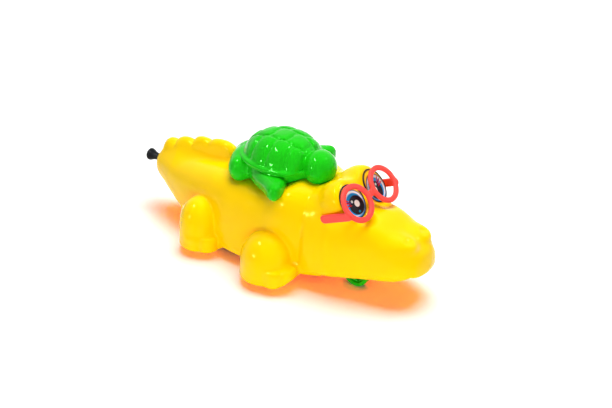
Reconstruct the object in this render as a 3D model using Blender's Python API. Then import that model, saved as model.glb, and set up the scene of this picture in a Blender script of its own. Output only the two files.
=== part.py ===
"""Pull-cord toy crocodile carrying a turtle, as separate pieces.

Lengths below are millimetres and the scene is in metres. X points forward to the snout, Y to the
crocodile's left and Z up. The wheels stand on z = 0.
"""

import math

import bmesh
import bpy
import numpy as np
from mathutils import Matrix, Vector

MM = 0.001
GAP = 0.35
SLIVER = 0.0005
FLAT_ANGLE = math.radians(1.2)
WALL = 2.0
RIM_WALL = 2.3

# Outer form: x, half width, low z, widest z, top z, top power, low power, inward lean of the flank
BODY_STATIONS = (
    (-83.2, 4.2, 22.4, 27.2, 31.6, 2.2, 2.2, 0.00),
    (-80.0, 7.2, 19.2, 26.4, 33.4, 2.3, 2.2, 0.00),
    (-74.0, 10.0, 15.6, 25.0, 35.0, 2.5, 2.3, 0.00),
    (-62.0, 15.4, 11.0, 21.0, 37.0, 2.8, 2.6, 0.05),
    (-46.0, 21.4, 6.4, 16.0, 40.5, 3.6, 3.2, 0.10),
    (-28.0, 26.6, 4.2, 11.0, 43.2, 5.0, 4.0, 0.14),
    (-8.0, 29.2, 3.9, 9.4, 43.8, 6.0, 5.0, 0.15),
    (12.0, 28.8, 3.9, 9.4, 43.6, 6.0, 5.0, 0.15),
    (26.0, 25.0, 4.0, 10.0, 43.4, 5.5, 5.0, 0.13),
    (40.0, 20.0, 5.0, 12.0, 43.0, 5.0, 5.0, 0.12),
)
HEAD_STATIONS = (
    (29.6, 21.5, 7.4, 18.0, 41.5, 3.0, 3.0, 0.08),
    (31.2, 24.2, 5.6, 17.0, 44.6, 3.0, 3.4, 0.08),
    (35.0, 25.4, 5.0, 16.0, 46.4, 3.0, 4.0, 0.08),
    (43.0, 24.8, 5.5, 15.5, 47.0, 3.0, 4.0, 0.08),
    (52.0, 22.4, 6.8, 16.5, 45.2, 3.1, 4.0, 0.07),
    (60.0, 20.2, 8.0, 18.0, 43.4, 3.3, 3.8, 0.05),
    (67.0, 18.6, 9.0, 19.0, 41.6, 3.4, 3.6, 0.03),
    (75.0, 17.2, 10.0, 19.5, 38.0, 3.3, 3.2, 0.02),
    (82.0, 15.0, 11.2, 19.8, 34.6, 3.0, 2.8, 0.00),
    (87.4, 11.6, 13.3, 20.0, 31.0, 2.7, 2.5, 0.00),
    (90.6, 7.6, 15.8, 20.4, 27.6, 2.4, 2.3, 0.00),
    (92.0, 3.0, 18.2, 20.8, 24.0, 2.1, 2.1, 0.00),
)
BODY_RINGS, RING_POINTS = 17, 22
CAVITY_RINGS, CAVITY_POINTS = 9, 10

# Seam of shell and base: the rim under the belly, then the mouth line rising along the head
RIM_Z = 4.2
SEAM_LINE = (
    (-95.0, RIM_Z),
    (10.0, RIM_Z),
    (26.0, RIM_Z),
    (29.0, 5.6),
    (32.0, 8.4),
    (44.0, 11.8),
    (54.5, 14.5),
    (66.0, 17.5),
    (78.0, 19.5),
    (86.0, 19.0),
    (95.0, 17.5),
)
BELLY_START, BELLY_END = -47.0, 38.0
FLOOR_Z = (4.3, 6.1)
JAW_INSET, JAW_TIP_INSET, JAW_WALL = 0.8, 3.6, 1.8

# Head details
EYE_CENTRE, EYE_RADII = (45.8, 9.9, 45.6), (12.2, 10.2, 12.3)
EYE_FACE_POINT, EYE_FACE_TILT, EYE_FACE_TURN = (51.5, 10.0, 50.07), 38.0, 6.0
FOIL_WIDTH, FOIL_HEIGHT, FOIL_THICKNESS, FOIL_LIFT = 15.2, 17.8, 0.3, 0.3
NOSTRIL_CENTRE, NOSTRIL_RADII = (83.0, 6.4, 33.2), (4.3, 4.0, 2.8)
NOSTRIL_PIT_RADIUS = 1.3

# Tail crest: lobe peaks as (x, z)
CREST_LOBES = ((-73.5, 42.6), (-63.2, 46.2), (-52.4, 49.8), (-39.0, 52.2))
CREST_LOBE_REACH, CREST_LAST_REACH, CREST_LOBE_DEPTH = 6.6, 9.0, 7.0
CREST_HALF_THICKNESS, CREST_FOOT_Z = 3.6, 29.0
CREST_ENDS = (-79.5, -30.0)

# Paws on the right side, mirrored to the left: the leg's dome as (centre, radii), the foot as an
# oval (centre, reach, power, top z) and the headings of its toes in degrees
SOLE_Z = 1.2
FRONT_PAW = {
    "dome": ((11.6, -30.4, 12.6), (12.3, 12.4, 15.0)),
    "foot": ((16.0, -29.5), (13.6, 12.4), 2.5, 13.2),
    "toes": (-66.0, -20.0, 26.0),
}
REAR_PAW = {
    "dome": ((-35.6, -26.0, 16.3), (9.7, 10.7, 13.7)),
    "foot": ((-32.6, -25.2), (12.2, 11.8), 2.1, 12.2),
    "toes": (-92.0, -40.0, 12.0),
}
FOOT_RINGS = ((0.7, 0.0), (0.0, 0.14), (0.2, 0.58), (1.6, 0.86), (4.6, 1.0))
TOE_DEPTH = 0.05
PAW_WALL = 2.6

# Turtle: rings of its body as (centre x, half length, half width, z), skirt as (offset, z) from the dome
TURTLE_CENTRE, TURTLE_RADII = (3.6, 0.0, 43.7), (23.9, 20.4, 27.0)
TURTLE_FRONT_X, TURTLE_FOOT_Z = 17.4, 55.0
TURTLE_SKIRT = ((-3.0, 53.4), (0.6, 53.7), (1.7, 54.9), (1.5, 56.4), (-0.4, 57.6), (-4.0, 57.9))
TURTLE_BODY = (
    (-6.0, 15.5, 14.0, 42.0),
    (-5.0, 16.5, 15.0, 46.0),
    (-2.0, 18.5, 16.5, 51.0),
    (0.0, 18.8, 16.8, 56.0),
)
TURTLE_WALL = 2.2
TURTLE_HEAD = ((25.2, 0.0, 55.9), (8.5, 9.2, 9.5))
TURTLE_NECK = ((15.0, 0.0, 56.0), (10.0, 7.0, 6.6))
TURTLE_RUMP = ((-14.3, 0.0, 48.0), (14.7, 14.0, 10.1))
TURTLE_LEG = ((-16.0, -14.0, 48.6), (6.0, 5.6, 7.2))
FLIPPER_OUTLINE = (
    (-12.0, -12.5),
    (-4.0, -19.0),
    (6.0, -24.0),
    (12.8, -27.8),
    (16.8, -26.6),
    (16.8, -20.0),
    (13.0, -12.0),
    (5.0, -7.0),
    (-6.0, -7.0),
)
FLIPPER_RINGS = ((0.86, 43.4), (1.0, 45.2), (1.0, 49.0), (0.92, 51.6), (0.6, 53.2))
TURTLE_CLEARANCE = 0.45
TURTLE_SCREW = (2.0, 8.0)
POST_RADIUS, POST_Z = 3.2, (44.6, 62.0)

# Glasses: the rings stand in front of the eyes and the arms turn on two pegs in the head
RING_CENTRE, RING_TILT, RING_TURN = (55.95, 11.8, 51.2), 41.0, 4.0
RING_RADIUS, RING_BAND, RING_THICKNESS = 10.3, 2.7, 1.8
BRIDGE_HALF_WIDTH, BRIDGE_HEIGHT = 3.0, 3.4
PEG_X, PEG_Z, PEG_RADIUS, PEG_REACH = 42.7, 41.9, 1.3, 16.6
ARM_Y, ARM_FRONT, ARM_HALF_HEIGHT, ARM_THICKNESS = 21.3, (56.8, 48.2), 1.8, 1.4

# Wheels and axles
REAR_WHEEL_RADIUS, REAR_WHEEL_WIDTH, REAR_WHEEL_Y, REAR_AXLE_X = 10.5, 5.4, 19.0, -26.3
FRONT_WHEEL_RADIUS, FRONT_WHEEL_WIDTH, FRONT_WHEEL_Y, FRONT_AXLE_X = 7.6, 4.4, 7.4, 53.6
TYRE_DEPTH = 1.6
AXLE_RADIUS = 1.25
WELL_GAP = 0.8
SPOKE_HOLES, SPOKE_HOLE_RADIUS = 5, 1.2

# Drive: drum and drive gear share a shaft, the idler sits between drive gear and axle pinion
MODULE, DRIVE_TEETH, IDLER_TEETH, PINION_TEETH = 0.8, 28, 16, 8
CENTRE_SLACK, TOOTH_SHARE, PRESSURE_ANGLE = 0.16, 0.40, 20.0
DRUM_X, DRUM_Z = -9.0, 17.7
GEAR_Y = (2.1, 4.5)
PINION_Y = (1.8, 4.8)
SHAFT_RADIUS, HUB_RADIUS, HUB_END_Y = 1.2, 2.7, 10.3
DRUM_CORE, DRUM_FLANGE = 8.5, 11.4
DRUM_CORE_Y, DRUM_FLANGE_WIDTH = (-10.1, 0.9), 0.7
RATCHET_TEETH, RATCHET_TIP, RATCHET_ROOT, RATCHET_DEPTH = 12, 6.7, 7.9, 1.3
PAWL_REACH, PAWL_RADIUS, PAWL_END_Y = 6.2, 0.8, 3.05

# Cord: turns on the drum, then a straight run along the tail to the knob
CORD_RADIUS = 0.5
WIND_RADIUS = DRUM_CORE + GAP + CORD_RADIUS
WIND_TURNS, WIND_PITCH, WIND_POINTS = 6.0, 1.46, 24
CORD_Z = DRUM_Z + WIND_RADIUS
CORD_HOLE_RADIUS = 1.2
KNOB_FRONT_X, KNOB_LENGTH, KNOB_RADIUS, KNOB_NECK = -83.6, 7.6, 3.4, 1.8

# Mainspring strip
SPRING_Y, SPRING_INNER, SPRING_OUTER = (5.6, 10.2), 3.7, 9.4
SPRING_TURNS, SPRING_STEPS, SPRING_STRIP = 4.25, 16, 0.35

# Gearbox
BOX_HALF_WIDTH, BOX_WALL, BOX_GAP, BOX_SPLIT = 12.4, 1.2, 0.6, 0.15
EAR_RADIUS = 3.0
EARS = ((3.0, 28.6), (6.6, 14.0), (-37.0, 19.5))
WINDOW_X, WINDOW_Y = (-32.8, 2.8), 12.9

# Fasteners
SCREW_RADIUS, SCREW_HEAD_RADIUS, SCREW_HEAD = 1.0, 2.4, 1.5
BODY_SCREWS = ((-42.4, 15.7), (-42.4, -15.7), (33.0, 13.0), (33.0, -13.0))
BODY_SCREW_LENGTH, GEARBOX_SCREW_LENGTH, TURTLE_SCREW_LENGTH = 16.0, 23.0, 14.0
BOSS_RADIUS, BOSS_FOOT_Z, SOCKET_RADIUS, SOCKET_TOP_Z, COUNTERBORE_Z = 2.8, 10.9, 3.7, 10.5, 7.6

YELLOW = (1.0, 0.62, 0.0)
GREEN = (0.03, 0.55, 0.02)
CORAL = (1.0, 0.10, 0.06)
BLACK = (0.012, 0.012, 0.015)
WHITE = (0.8, 0.8, 0.78)
STEEL = (0.55, 0.55, 0.57)
CREAM = (0.75, 0.72, 0.62)


def clear_scene():
    for obj in list(bpy.data.objects):
        bpy.data.objects.remove(obj, do_unlink=True)


def material(name, colour, roughness, metallic=0.0):
    found = bpy.data.materials.new(name)
    found.use_nodes = True
    shader = found.node_tree.nodes["Principled BSDF"]
    shader.inputs["Base Color"].default_value = (*colour, 1.0)
    shader.inputs["Roughness"].default_value = roughness
    shader.inputs["Metallic"].default_value = metallic
    found.diffuse_color = (*colour, 1.0)
    return found


def add_object(name, bm):
    """A mesh object from a bmesh in millimetres, with its faces turned outwards."""
    bmesh.ops.remove_doubles(bm, verts=bm.verts, dist=1e-5)
    bmesh.ops.triangulate(bm, faces=bm.faces)
    bmesh.ops.recalc_face_normals(bm, faces=bm.faces)
    mesh = bpy.data.meshes.new(name)
    bm.to_mesh(mesh)
    bm.free()
    obj = bpy.data.objects.new(name, mesh)
    bpy.context.scene.collection.objects.link(obj)
    return obj


def combine(target, tools, operation):
    """Joins the tools to the target, or cuts them from it, and removes them."""
    for tool in tools:
        step = target.modifiers.new("step", "BOOLEAN")
        step.operation = operation
        step.solver = "EXACT"
        step.object = tool
        graph = bpy.context.evaluated_depsgraph_get()
        result = bpy.data.meshes.new_from_object(target.evaluated_get(graph))
        target.modifiers.remove(step)
        bm = bmesh.new()
        bm.from_mesh(result)
        bmesh.ops.remove_doubles(bm, verts=bm.verts, dist=SLIVER)
        bmesh.ops.dissolve_degenerate(bm, dist=SLIVER, edges=bm.edges)
        bmesh.ops.holes_fill(bm, edges=[edge for edge in bm.edges if edge.is_boundary], sides=4)
        bm.to_mesh(result)
        bm.free()
        old = target.data
        target.data = result
        bpy.data.meshes.remove(old)
        bpy.data.objects.remove(tool, do_unlink=True)
    return target


def finish(obj, name, surface, origin=(0.0, 0.0, 0.0), sharp=35.0):
    """Names a piece, brings it to metres with its origin on the given point, and sets its looks."""
    bm = bmesh.new()
    bm.from_mesh(obj.data)
    bmesh.ops.dissolve_limit(bm, angle_limit=FLAT_ANGLE, verts=bm.verts, edges=bm.edges)
    bmesh.ops.triangulate(bm, faces=bm.faces)
    bm.to_mesh(obj.data)
    bm.free()
    obj.data.transform(Matrix.Scale(MM, 4) @ Matrix.Translation(-Vector(origin)))
    obj.location = Vector(origin) * MM
    obj.name = name
    obj.data.name = name
    obj.data.materials.clear()
    obj.data.materials.append(surface)
    obj.data.shade_smooth()
    obj.data.set_sharp_from_angle(angle=math.radians(sharp))
    return obj


def placed(obj, matrix):
    obj.data.transform(matrix)
    return obj


def smooth_value(x, knots, values):
    """Cubic through hand-set knots, with slopes from the neighbouring knots."""
    slopes = np.gradient(values, knots)
    i = int(np.clip(np.searchsorted(knots, x) - 1, 0, len(knots) - 2))
    step = knots[i + 1] - knots[i]
    t = (x - knots[i]) / step
    rise = (1 - t) ** 2 * (1 + 2 * t) * values[i] + t * t * (3 - 2 * t) * values[i + 1]
    return float(rise + step * t * (1 - t) * ((1 - t) * slopes[i] - t * slopes[i + 1]))


def station(stations, x):
    """Form values at x: half width, low z, widest z, top z, top power, low power, lean."""
    knots = [row[0] for row in stations]
    return [smooth_value(x, knots, [row[k] for row in stations]) for k in range(1, 8)]


def section(stations, x, inset, count):
    """One closed cross-section at x, drawn in from the outer form by inset."""
    width, low, wide, top, top_power, low_power, lean = station(stations, x)
    width = max(width - inset, 0.8)
    top = max(top - inset, wide + 0.6)
    low = min(low + inset, wide - 0.6)
    angle = np.linspace(0.0, 2 * math.pi, 721)
    upper = np.sin(angle) >= 0
    power = np.where(upper, top_power, low_power)
    across = np.sign(np.cos(angle)) * np.abs(np.cos(angle)) ** (2 / power)
    rise = np.abs(np.sin(angle)) ** (2 / power)
    y = width * across * np.where(upper, 1 - lean * rise, 1.0)
    z = wide + np.where(upper, (top - wide) * rise, -(wide - low) * rise)
    run = np.concatenate([[0.0], np.cumsum(np.hypot(np.diff(y), np.diff(z)))])
    want = np.linspace(0.0, run[-1], count, endpoint=False)
    return [(x, float(np.interp(s, run, y)), float(np.interp(s, run, z))) for s in want]


def roof(stations, x, y):
    """Height of the outer form over a point, or 0 beside the form."""
    if not stations[0][0] <= x <= stations[-1][0]:
        return 0.0
    width, _, wide, top, power, _, lean = station(stations, x)
    rise = 1.0
    for _ in range(6):
        share = min(abs(y) / (width * (1 - lean * rise)), 1.0)
        rise = (1 - share**power) ** (1 / power)
    return wide + (top - wide) * rise


def loft(name, rings):
    """A closed skin through matching rings, with a flat face on each end."""
    bm = bmesh.new()
    rows = [[bm.verts.new(point) for point in ring] for ring in rings]
    count = len(rows[0])
    for first, second in zip(rows, rows[1:]):
        for i in range(count):
            bm.faces.new((first[i], first[(i + 1) % count], second[(i + 1) % count], second[i]))
    bm.faces.new(rows[0])
    bm.faces.new(rows[-1])
    return add_object(name, bm)


def form(name, stations, inset, rings, count, end_inset=0.0, tip_inset=0.0):
    """Loft through all stations. Both ends are drawn in by end_inset, the front also by tip_inset."""
    start = stations[0][0] + end_inset
    end = stations[-1][0] - end_inset
    middle = 0.5 * (start + end)
    drawn = []
    for x in start + (end - start) * (0.5 - 0.5 * np.cos(np.linspace(0.0, math.pi, rings))):
        back = tip_inset * max(0.0, (x - middle) / (end - middle)) ** 2
        drawn.append([(px - back, py, pz) for px, py, pz in section(stations, float(x), inset, count)])
    return loft(name, drawn)


def belly_slab(name, inset, x_ends, z_ends):
    """Slab under the body that follows its plan outline, drawn in by inset."""
    rings = []
    for x in np.linspace(*x_ends, 11):
        half = station(BODY_STATIONS, float(x))[0] - inset
        corners = ((-half, 0), (half, 0), (half, 1), (-half, 1))
        rings.append([(x, y, z_ends[level]) for y, level in corners])
    return loft(name, rings)


def ellipsoid(name, centre, radii, turn=0.0, droop=0.0, segments=16, rings=10):
    """Ellipsoid turned about Z after its -Y side droops about its long axis."""
    bm = bmesh.new()
    bmesh.ops.create_uvsphere(bm, u_segments=segments, v_segments=rings, radius=1.0)
    place = Matrix.Translation(centre) @ Matrix.Rotation(math.radians(turn), 4, "Z")
    place = place @ Matrix.Rotation(math.radians(droop), 4, "X")
    bm.transform(place @ Matrix.Diagonal((*radii, 1.0)))
    return add_object(name, bm)


def cylinder(name, start, end, radius, segments=16):
    start = Vector(start)
    end = Vector(end)
    bm = bmesh.new()
    bmesh.ops.create_cone(
        bm, cap_ends=True, segments=segments, radius1=radius, radius2=radius, depth=(end - start).length
    )
    turn = Vector((0, 0, 1)).rotation_difference(end - start).to_matrix().to_4x4()
    bm.transform(Matrix.Translation((start + end) / 2) @ turn)
    return add_object(name, bm)


def block(name, low, high):
    bm = bmesh.new()
    bmesh.ops.create_cube(bm, size=1.0)
    low = Vector(low)
    high = Vector(high)
    bm.transform(Matrix.Translation((low + high) / 2) @ Matrix.Diagonal((*(high - low), 1.0)))
    return add_object(name, bm)


def prism(name, outline, y_low, y_high):
    """An outline in the XZ plane, extruded along Y."""
    bm = bmesh.new()
    face = bm.faces.new([bm.verts.new((x, y_low, z)) for x, z in outline])
    grown = bmesh.ops.extrude_face_region(bm, geom=[face])
    fresh = [item for item in grown["geom"] if isinstance(item, bmesh.types.BMVert)]
    bmesh.ops.translate(bm, vec=(0, y_high - y_low, 0), verts=fresh)
    return add_object(name, bm)


def turned(name, profile, steps=24):
    """A closed profile of (radius, y) points, spun about the Y axis."""
    bm = bmesh.new()
    points = [bm.verts.new((radius, y, 0.0)) for radius, y in profile]
    pairs = zip(points, points[1:] + points[:1])
    edges = [bm.edges.new((a, b)) for a, b in pairs if a.co.x > 0 or b.co.x > 0]
    bmesh.ops.spin(
        bm,
        geom=points + edges,
        cent=(0, 0, 0),
        axis=(0, 1, 0),
        angle=2 * math.pi,
        steps=steps,
        use_merge=True,
    )
    bmesh.ops.remove_doubles(bm, verts=bm.verts, dist=1e-5)
    bmesh.ops.dissolve_degenerate(bm, edges=bm.edges, dist=1e-5)
    return add_object(name, bm)


def circle(centre, radius, count):
    turn = 2 * math.pi / count
    x, z = centre
    return [(x + radius * math.cos(i * turn), z + radius * math.sin(i * turn)) for i in range(count)]


def hull(points):
    """Convex outline round 2-D points."""

    def chain(ordered):
        kept = []
        for p in ordered:
            while len(kept) > 1:
                a = Vector(kept[-1]) - Vector(kept[-2])
                b = Vector(p) - Vector(kept[-2])
                if a.x * b.y - a.y * b.x > 0:
                    break
                kept.pop()
            kept.append(p)
        return kept[:-1]

    ordered = sorted(set(points))
    return chain(ordered) + chain(ordered[::-1])


def seam_block(name, lift, far_z):
    """Block bounded by the seam line, moved up by lift, and by the level far_z."""
    knots = [row[0] for row in SEAM_LINE]
    heights = [row[1] for row in SEAM_LINE]
    line = [(x, smooth_value(x, knots, heights) + lift) for x in np.linspace(knots[2], knots[-1], 20)]
    outline = [(knots[0], far_z), (knots[0], RIM_Z + lift)] + line + [(knots[-1], far_z)]
    return prism(name, outline, -60.0, 60.0)


def tilted_frame(centre, side, tilt, turn):
    """Frame facing forward and up: local Z is its normal and local Y points up the face."""
    x, y, z = centre
    return (
        Matrix.Translation((x, side * y, z))
        @ Matrix.Rotation(math.radians(side * turn), 4, "Z")
        @ Matrix.Rotation(math.radians(90.0 - tilt), 4, "Y")
        @ Matrix.Rotation(math.radians(90.0), 4, "Z")
    )


def eye_frame(side):
    return tilted_frame(EYE_FACE_POINT, side, EYE_FACE_TILT, EYE_FACE_TURN)


def eye_face_cutter(side):
    """Block that shaves the front of an eye mound flat for its foil."""
    half = (12.0, 12.0, 5.0)
    cutter = block("eye_face", (-half[0], -half[1], 0.0), (half[0], half[1], 2 * half[2]))
    return placed(cutter, eye_frame(side))


def foil_plate(name, grow, low, high):
    """Oval plate in the frame of an eye's face."""
    outline = ellipse((FOIL_WIDTH / 2 + grow, FOIL_HEIGHT / 2 + grow), 28)
    return loft(name, [[(u, v, level) for u, v in outline] for level in (low, high)])


def crest():
    """Scalloped fin along the tail, thick at its foot and thin at its rim."""
    start, end = CREST_ENDS
    rings = []
    for x in np.linspace(start, end, 27):
        rim = CREST_FOOT_Z + 3.0
        for peak_x, peak_z in CREST_LOBES:
            last = peak_x == CREST_LOBES[-1][0]
            inside = 1.0 - ((x - peak_x) / (CREST_LAST_REACH if last else CREST_LOBE_REACH)) ** 2
            if inside > 0:
                rim = max(rim, peak_z - CREST_LOBE_DEPTH * (1.0 - math.sqrt(inside)))
        foot = CREST_HALF_THICKNESS * min(1.0, (x - start) / 4.0 + 0.25, (end - x) / 4.0 + 0.25)
        half = [(1.5 * foot, CREST_FOOT_Z), (foot, rim - 2.6), (0.7 * foot, rim - 0.8), (0.0, rim)]
        ring = [(x, y, z) for y, z in half] + [(x, -y, z) for y, z in half[-2::-1]]
        rings.append(ring)
    return loft("crest", rings)


def foot_outline(values, inset, count):
    """Plan of a foot on the right side: an oval whose edge swells at each toe."""
    (x, y), reach, power, _ = values["foot"]
    toes = values["toes"]
    spread = toes[1] - toes[0]
    points = []
    for i in range(count):
        heading = 360.0 * i / count - 180.0
        turn = math.radians(heading)
        swell = 0.0
        if toes[0] - spread / 2 <= heading <= toes[-1] + spread / 2:
            swell = TOE_DEPTH * math.cos(2 * math.pi * (heading - toes[0]) / spread)
        ways = (math.cos(turn), math.sin(turn))
        share = sum(abs(way) ** power for way in ways) ** (-1 / power) * (1.0 + swell)
        points.append([c + (r - inset) * share * way for c, r, way in zip((x, y), reach, ways)])
    return points


def paw(values, side):
    """Leg and foot of one paw in one solid, flat at the sole."""
    (x, y, z), radii = values["dome"]
    solid = ellipsoid("paw", (x, -side * y, z), radii, segments=14, rings=8)
    height = values["foot"][3] - SOLE_Z
    rings = []
    for inset, rise in FOOT_RINGS:
        level = SOLE_Z + rise * height
        rings.append([(u, -side * v, level) for u, v in foot_outline(values, inset, 24)])
    combine(solid, [loft("foot", rings)], "UNION")
    return combine(solid, [block("sole", (-90, -60, -20), (90, 60, SOLE_Z + 0.01))], "DIFFERENCE")


def paw_cavity(values, side):
    """Hollow inside a leg, open at the sole."""
    (x, y, z), radii = values["dome"]
    rings = []
    for rise in (-1.3, -0.7, 0.0, 0.5, 0.82):
        scale = math.sqrt(1.0 - max(rise, -0.7) ** 2)
        reach = [scale * radius - PAW_WALL for radius in radii[:2]]
        rings.append([(x + u, -side * y + v, z + rise * radii[2]) for u, v in ellipse(reach, 8)])
    return loft("paw_cavity", rings)


def closed_curve(points, count):
    """Smooth closed curve through plan points."""
    total = len(points)
    drawn = []
    for i in range(count):
        place = total * i / count
        k = int(place)
        t = place - k
        a, b, c, d = (Vector(points[(k + n) % total]) for n in (-1, 0, 1, 2))
        bend = (2 * a - 5 * b + 4 * c - d) * t**2 + (3 * b - a - 3 * c + d) * t**3
        drawn.append(tuple(b + 0.5 * ((c - a) * t + bend)))
    return drawn


def ellipse(radii, count):
    turn = 2 * math.pi / count
    return [(radii[0] * math.cos(i * turn), radii[1] * math.sin(i * turn)) for i in range(count)]


def outer_form(name, inset, rings, count):
    """Body and head joined in one solid, drawn in by inset."""
    end_inset = max(inset, 0.0)
    body = form(name, BODY_STATIONS, inset, rings, count, end_inset)
    head = form("head", HEAD_STATIONS, inset, rings - 2, count, end_inset)
    return combine(body, [head], "UNION")


def upper_shell(surface):
    shell = outer_form("shell", 0.0, BODY_RINGS, RING_POINTS)
    combine(shell, [seam_block("below_seam", 0.0, -20.0)], "DIFFERENCE")
    added = [crest()]
    cuts = [outer_form("cavity", WALL, CAVITY_RINGS, CAVITY_POINTS)]
    cuts.append(belly_slab("belly", RIM_WALL, (BELLY_START, BELLY_END), (-5.0, 14.0)))
    for side in (-1, 1):
        x, y, z = EYE_CENTRE
        mound = ellipsoid("mound", (x, side * y, z), EYE_RADII, segments=16, rings=10)
        added.append(combine(mound, [eye_face_cutter(side)], "DIFFERENCE"))
        cuts.append(placed(foil_plate("foil_seat", 0.5, 0.02, 6.0), eye_frame(side)))
        x, y, z = NOSTRIL_CENTRE
        added.append(ellipsoid("nostril", (x, side * y, z), NOSTRIL_RADII, segments=10, rings=7))
        pit = ((x + 1.2, side * y, z + 2.0), (x + 2.6, side * y, z + 6.0))
        cuts.append(cylinder("nostril_pit", *pit, NOSTRIL_PIT_RADIUS, segments=10))
        for values in (FRONT_PAW, REAR_PAW):
            added.append(paw(values, side))
            cuts.append(paw_cavity(values, side))
        peg = ((PEG_X, side * 14.0, PEG_Z), (PEG_X, side * 26.0, PEG_Z))
        cuts.append(cylinder("peg_hole", *peg, PEG_RADIUS + GAP, segments=14))
        x, y = TURTLE_SCREW
        hole = ((x, side * y, 38.0), (x, side * y, 48.0))
        cuts.append(cylinder("turtle_hole", *hole, SCREW_RADIUS + GAP, segments=12))
    cord_hole = ((-96.0, 0, CORD_Z), (-76.0, 0, CORD_Z))
    cuts.append(cylinder("cord_hole", *cord_hole, CORD_HOLE_RADIUS, segments=12))
    combine(shell, added, "UNION")
    combine(shell, cuts, "DIFFERENCE")
    for x, y in BODY_SCREWS:
        top_z = max(roof(BODY_STATIONS, x, y), roof(HEAD_STATIONS, x, y)) - 0.4 * WALL
        boss = cylinder("boss", (x, y, BOSS_FOOT_Z), (x, y, top_z), BOSS_RADIUS, segments=10)
        combine(shell, [boss], "UNION")
        pilot = cylinder("pilot", (x, y, BOSS_FOOT_Z - 4.0), (x, y, 26.0), SCREW_RADIUS + 0.3, segments=8)
        combine(shell, [pilot], "DIFFERENCE")
    return finish(shell, "upper_shell", surface)


def base(surface):
    """Belly plate and lower jaw, with wheel wells, axle lugs and gearbox seats."""
    jaw = form("jaw", HEAD_STATIONS, JAW_INSET, 12, 18, JAW_INSET, JAW_TIP_INSET)
    hollow = form("hollow", HEAD_STATIONS, JAW_INSET + JAW_WALL, 8, 10, JAW_INSET + JAW_WALL, 4.4)
    combine(jaw, [hollow, seam_block("above_seam", -GAP, 90.0)], "DIFFERENCE")
    plate = belly_slab("base", RIM_WALL + GAP, (BELLY_START + GAP, BELLY_END), FLOOR_Z)
    low, high = FLOOR_Z
    added = [jaw]
    cuts = []

    def box(kind, x_ends, y_ends, z_ends):
        (x0, x1), (y0, y1), (z0, z1) = x_ends, sorted(y_ends), z_ends
        kind.append(block("box", (x0, y0, z0), (x1, y1, z1)))

    for x, y in BODY_SCREWS:
        added.append(cylinder("socket", (x, y, low + 0.1), (x, y, SOCKET_TOP_Z), SOCKET_RADIUS, segments=10))
        head_room = SCREW_HEAD_RADIUS + GAP
        cuts.append(cylinder("counterbore", (x, y, 0.0), (x, y, COUNTERBORE_Z), head_room, segments=10))
        cuts.append(cylinder("clearance", (x, y, 3.0), (x, y, 20.0), SCREW_RADIUS + GAP, segments=8))
    ear_x, ear_z = EARS[1]
    box(added, (ear_x - 2.4, ear_x + 2.4), (-9.0, 9.0), (low + 0.2, ear_z - EAR_RADIUS - GAP))
    ear_x, ear_z = EARS[2]
    rear_reach = REAR_WHEEL_RADIUS + WELL_GAP
    rear_x = (REAR_AXLE_X - rear_reach, REAR_AXLE_X + rear_reach)
    front_reach = FRONT_WHEEL_RADIUS + WELL_GAP
    front_x = (FRONT_AXLE_X - front_reach, FRONT_AXLE_X + front_reach)
    well_in = REAR_WHEEL_Y - REAR_WHEEL_WIDTH / 2 - 0.4
    well_out = REAR_WHEEL_Y + REAR_WHEEL_WIDTH / 2 + 0.4
    near = FRONT_WHEEL_Y - FRONT_WHEEL_WIDTH / 2 - 0.5
    far = FRONT_WHEEL_Y + FRONT_WHEEL_WIDTH / 2 + 0.5
    slot = AXLE_RADIUS + GAP
    slot_x = (REAR_AXLE_X - slot, REAR_AXLE_X + slot)
    lug_x = (FRONT_AXLE_X - 3.0, FRONT_AXLE_X + 3.0)
    for side in (-1, 1):
        seat_z = (low + 0.2, ear_z - EAR_RADIUS - GAP)
        box(added, (ear_x - 2.0, ear_x + 2.0), (side * 5.0, side * 11.0), seat_z)
        box(added, rear_x, (side * (well_in - 1.6), side * (well_in - 0.1)), (low + 0.2, 15.0))
        slot_z = (REAR_WHEEL_RADIUS - slot, 20.0)
        box(cuts, slot_x, (side * (well_in - 2.5), side * (well_in + 0.3)), slot_z)
        box(cuts, rear_x, (side * well_in, side * well_out), (0.0, 20.0))
        box(added, lug_x, (side * 2.6, side * 4.6), (4.6, 11.5))
        box(cuts, front_x, (side * near, side * far), (0.0, 30.0))
    front_axle = ((FRONT_AXLE_X, -12.0, FRONT_WHEEL_RADIUS), (FRONT_AXLE_X, 12.0, FRONT_WHEEL_RADIUS))
    cuts.append(cylinder("front_bore", *front_axle, AXLE_RADIUS + GAP, segments=10))
    box(cuts, WINDOW_X, (-WINDOW_Y, WINDOW_Y), (0.0, high + 1.0))
    combine(plate, added, "UNION")
    combine(plate, cuts, "DIFFERENCE")
    return finish(plate, "base", surface)


def turtle_dome(name, inset, foot_z, front_x, segments, rings):
    """Upper part of the shell's ellipsoid, cut level at its foot and upright over the neck."""
    radii = [radius - inset for radius in TURTLE_RADII]
    dome = ellipsoid(name, TURTLE_CENTRE, radii, segments=segments, rings=rings)
    below = block("below", (-60, -60, 0), (60, 60, foot_z))
    ahead = block("ahead", (front_x, -60, -10), (70, 60, 100))
    return combine(dome, [below, ahead], "DIFFERENCE")


def turtle_body(name, inset, foot_z):
    """Belly of the turtle under its shell, drawn in by inset."""
    rings = []
    for i, (x, half_length, half_width, z) in enumerate(TURTLE_BODY):
        outline = ellipse((half_length - inset, half_width - inset), 16)
        rings.append([(x + u, v, foot_z if i == 0 else z) for u, v in outline])
    return loft(name, rings)


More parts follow.
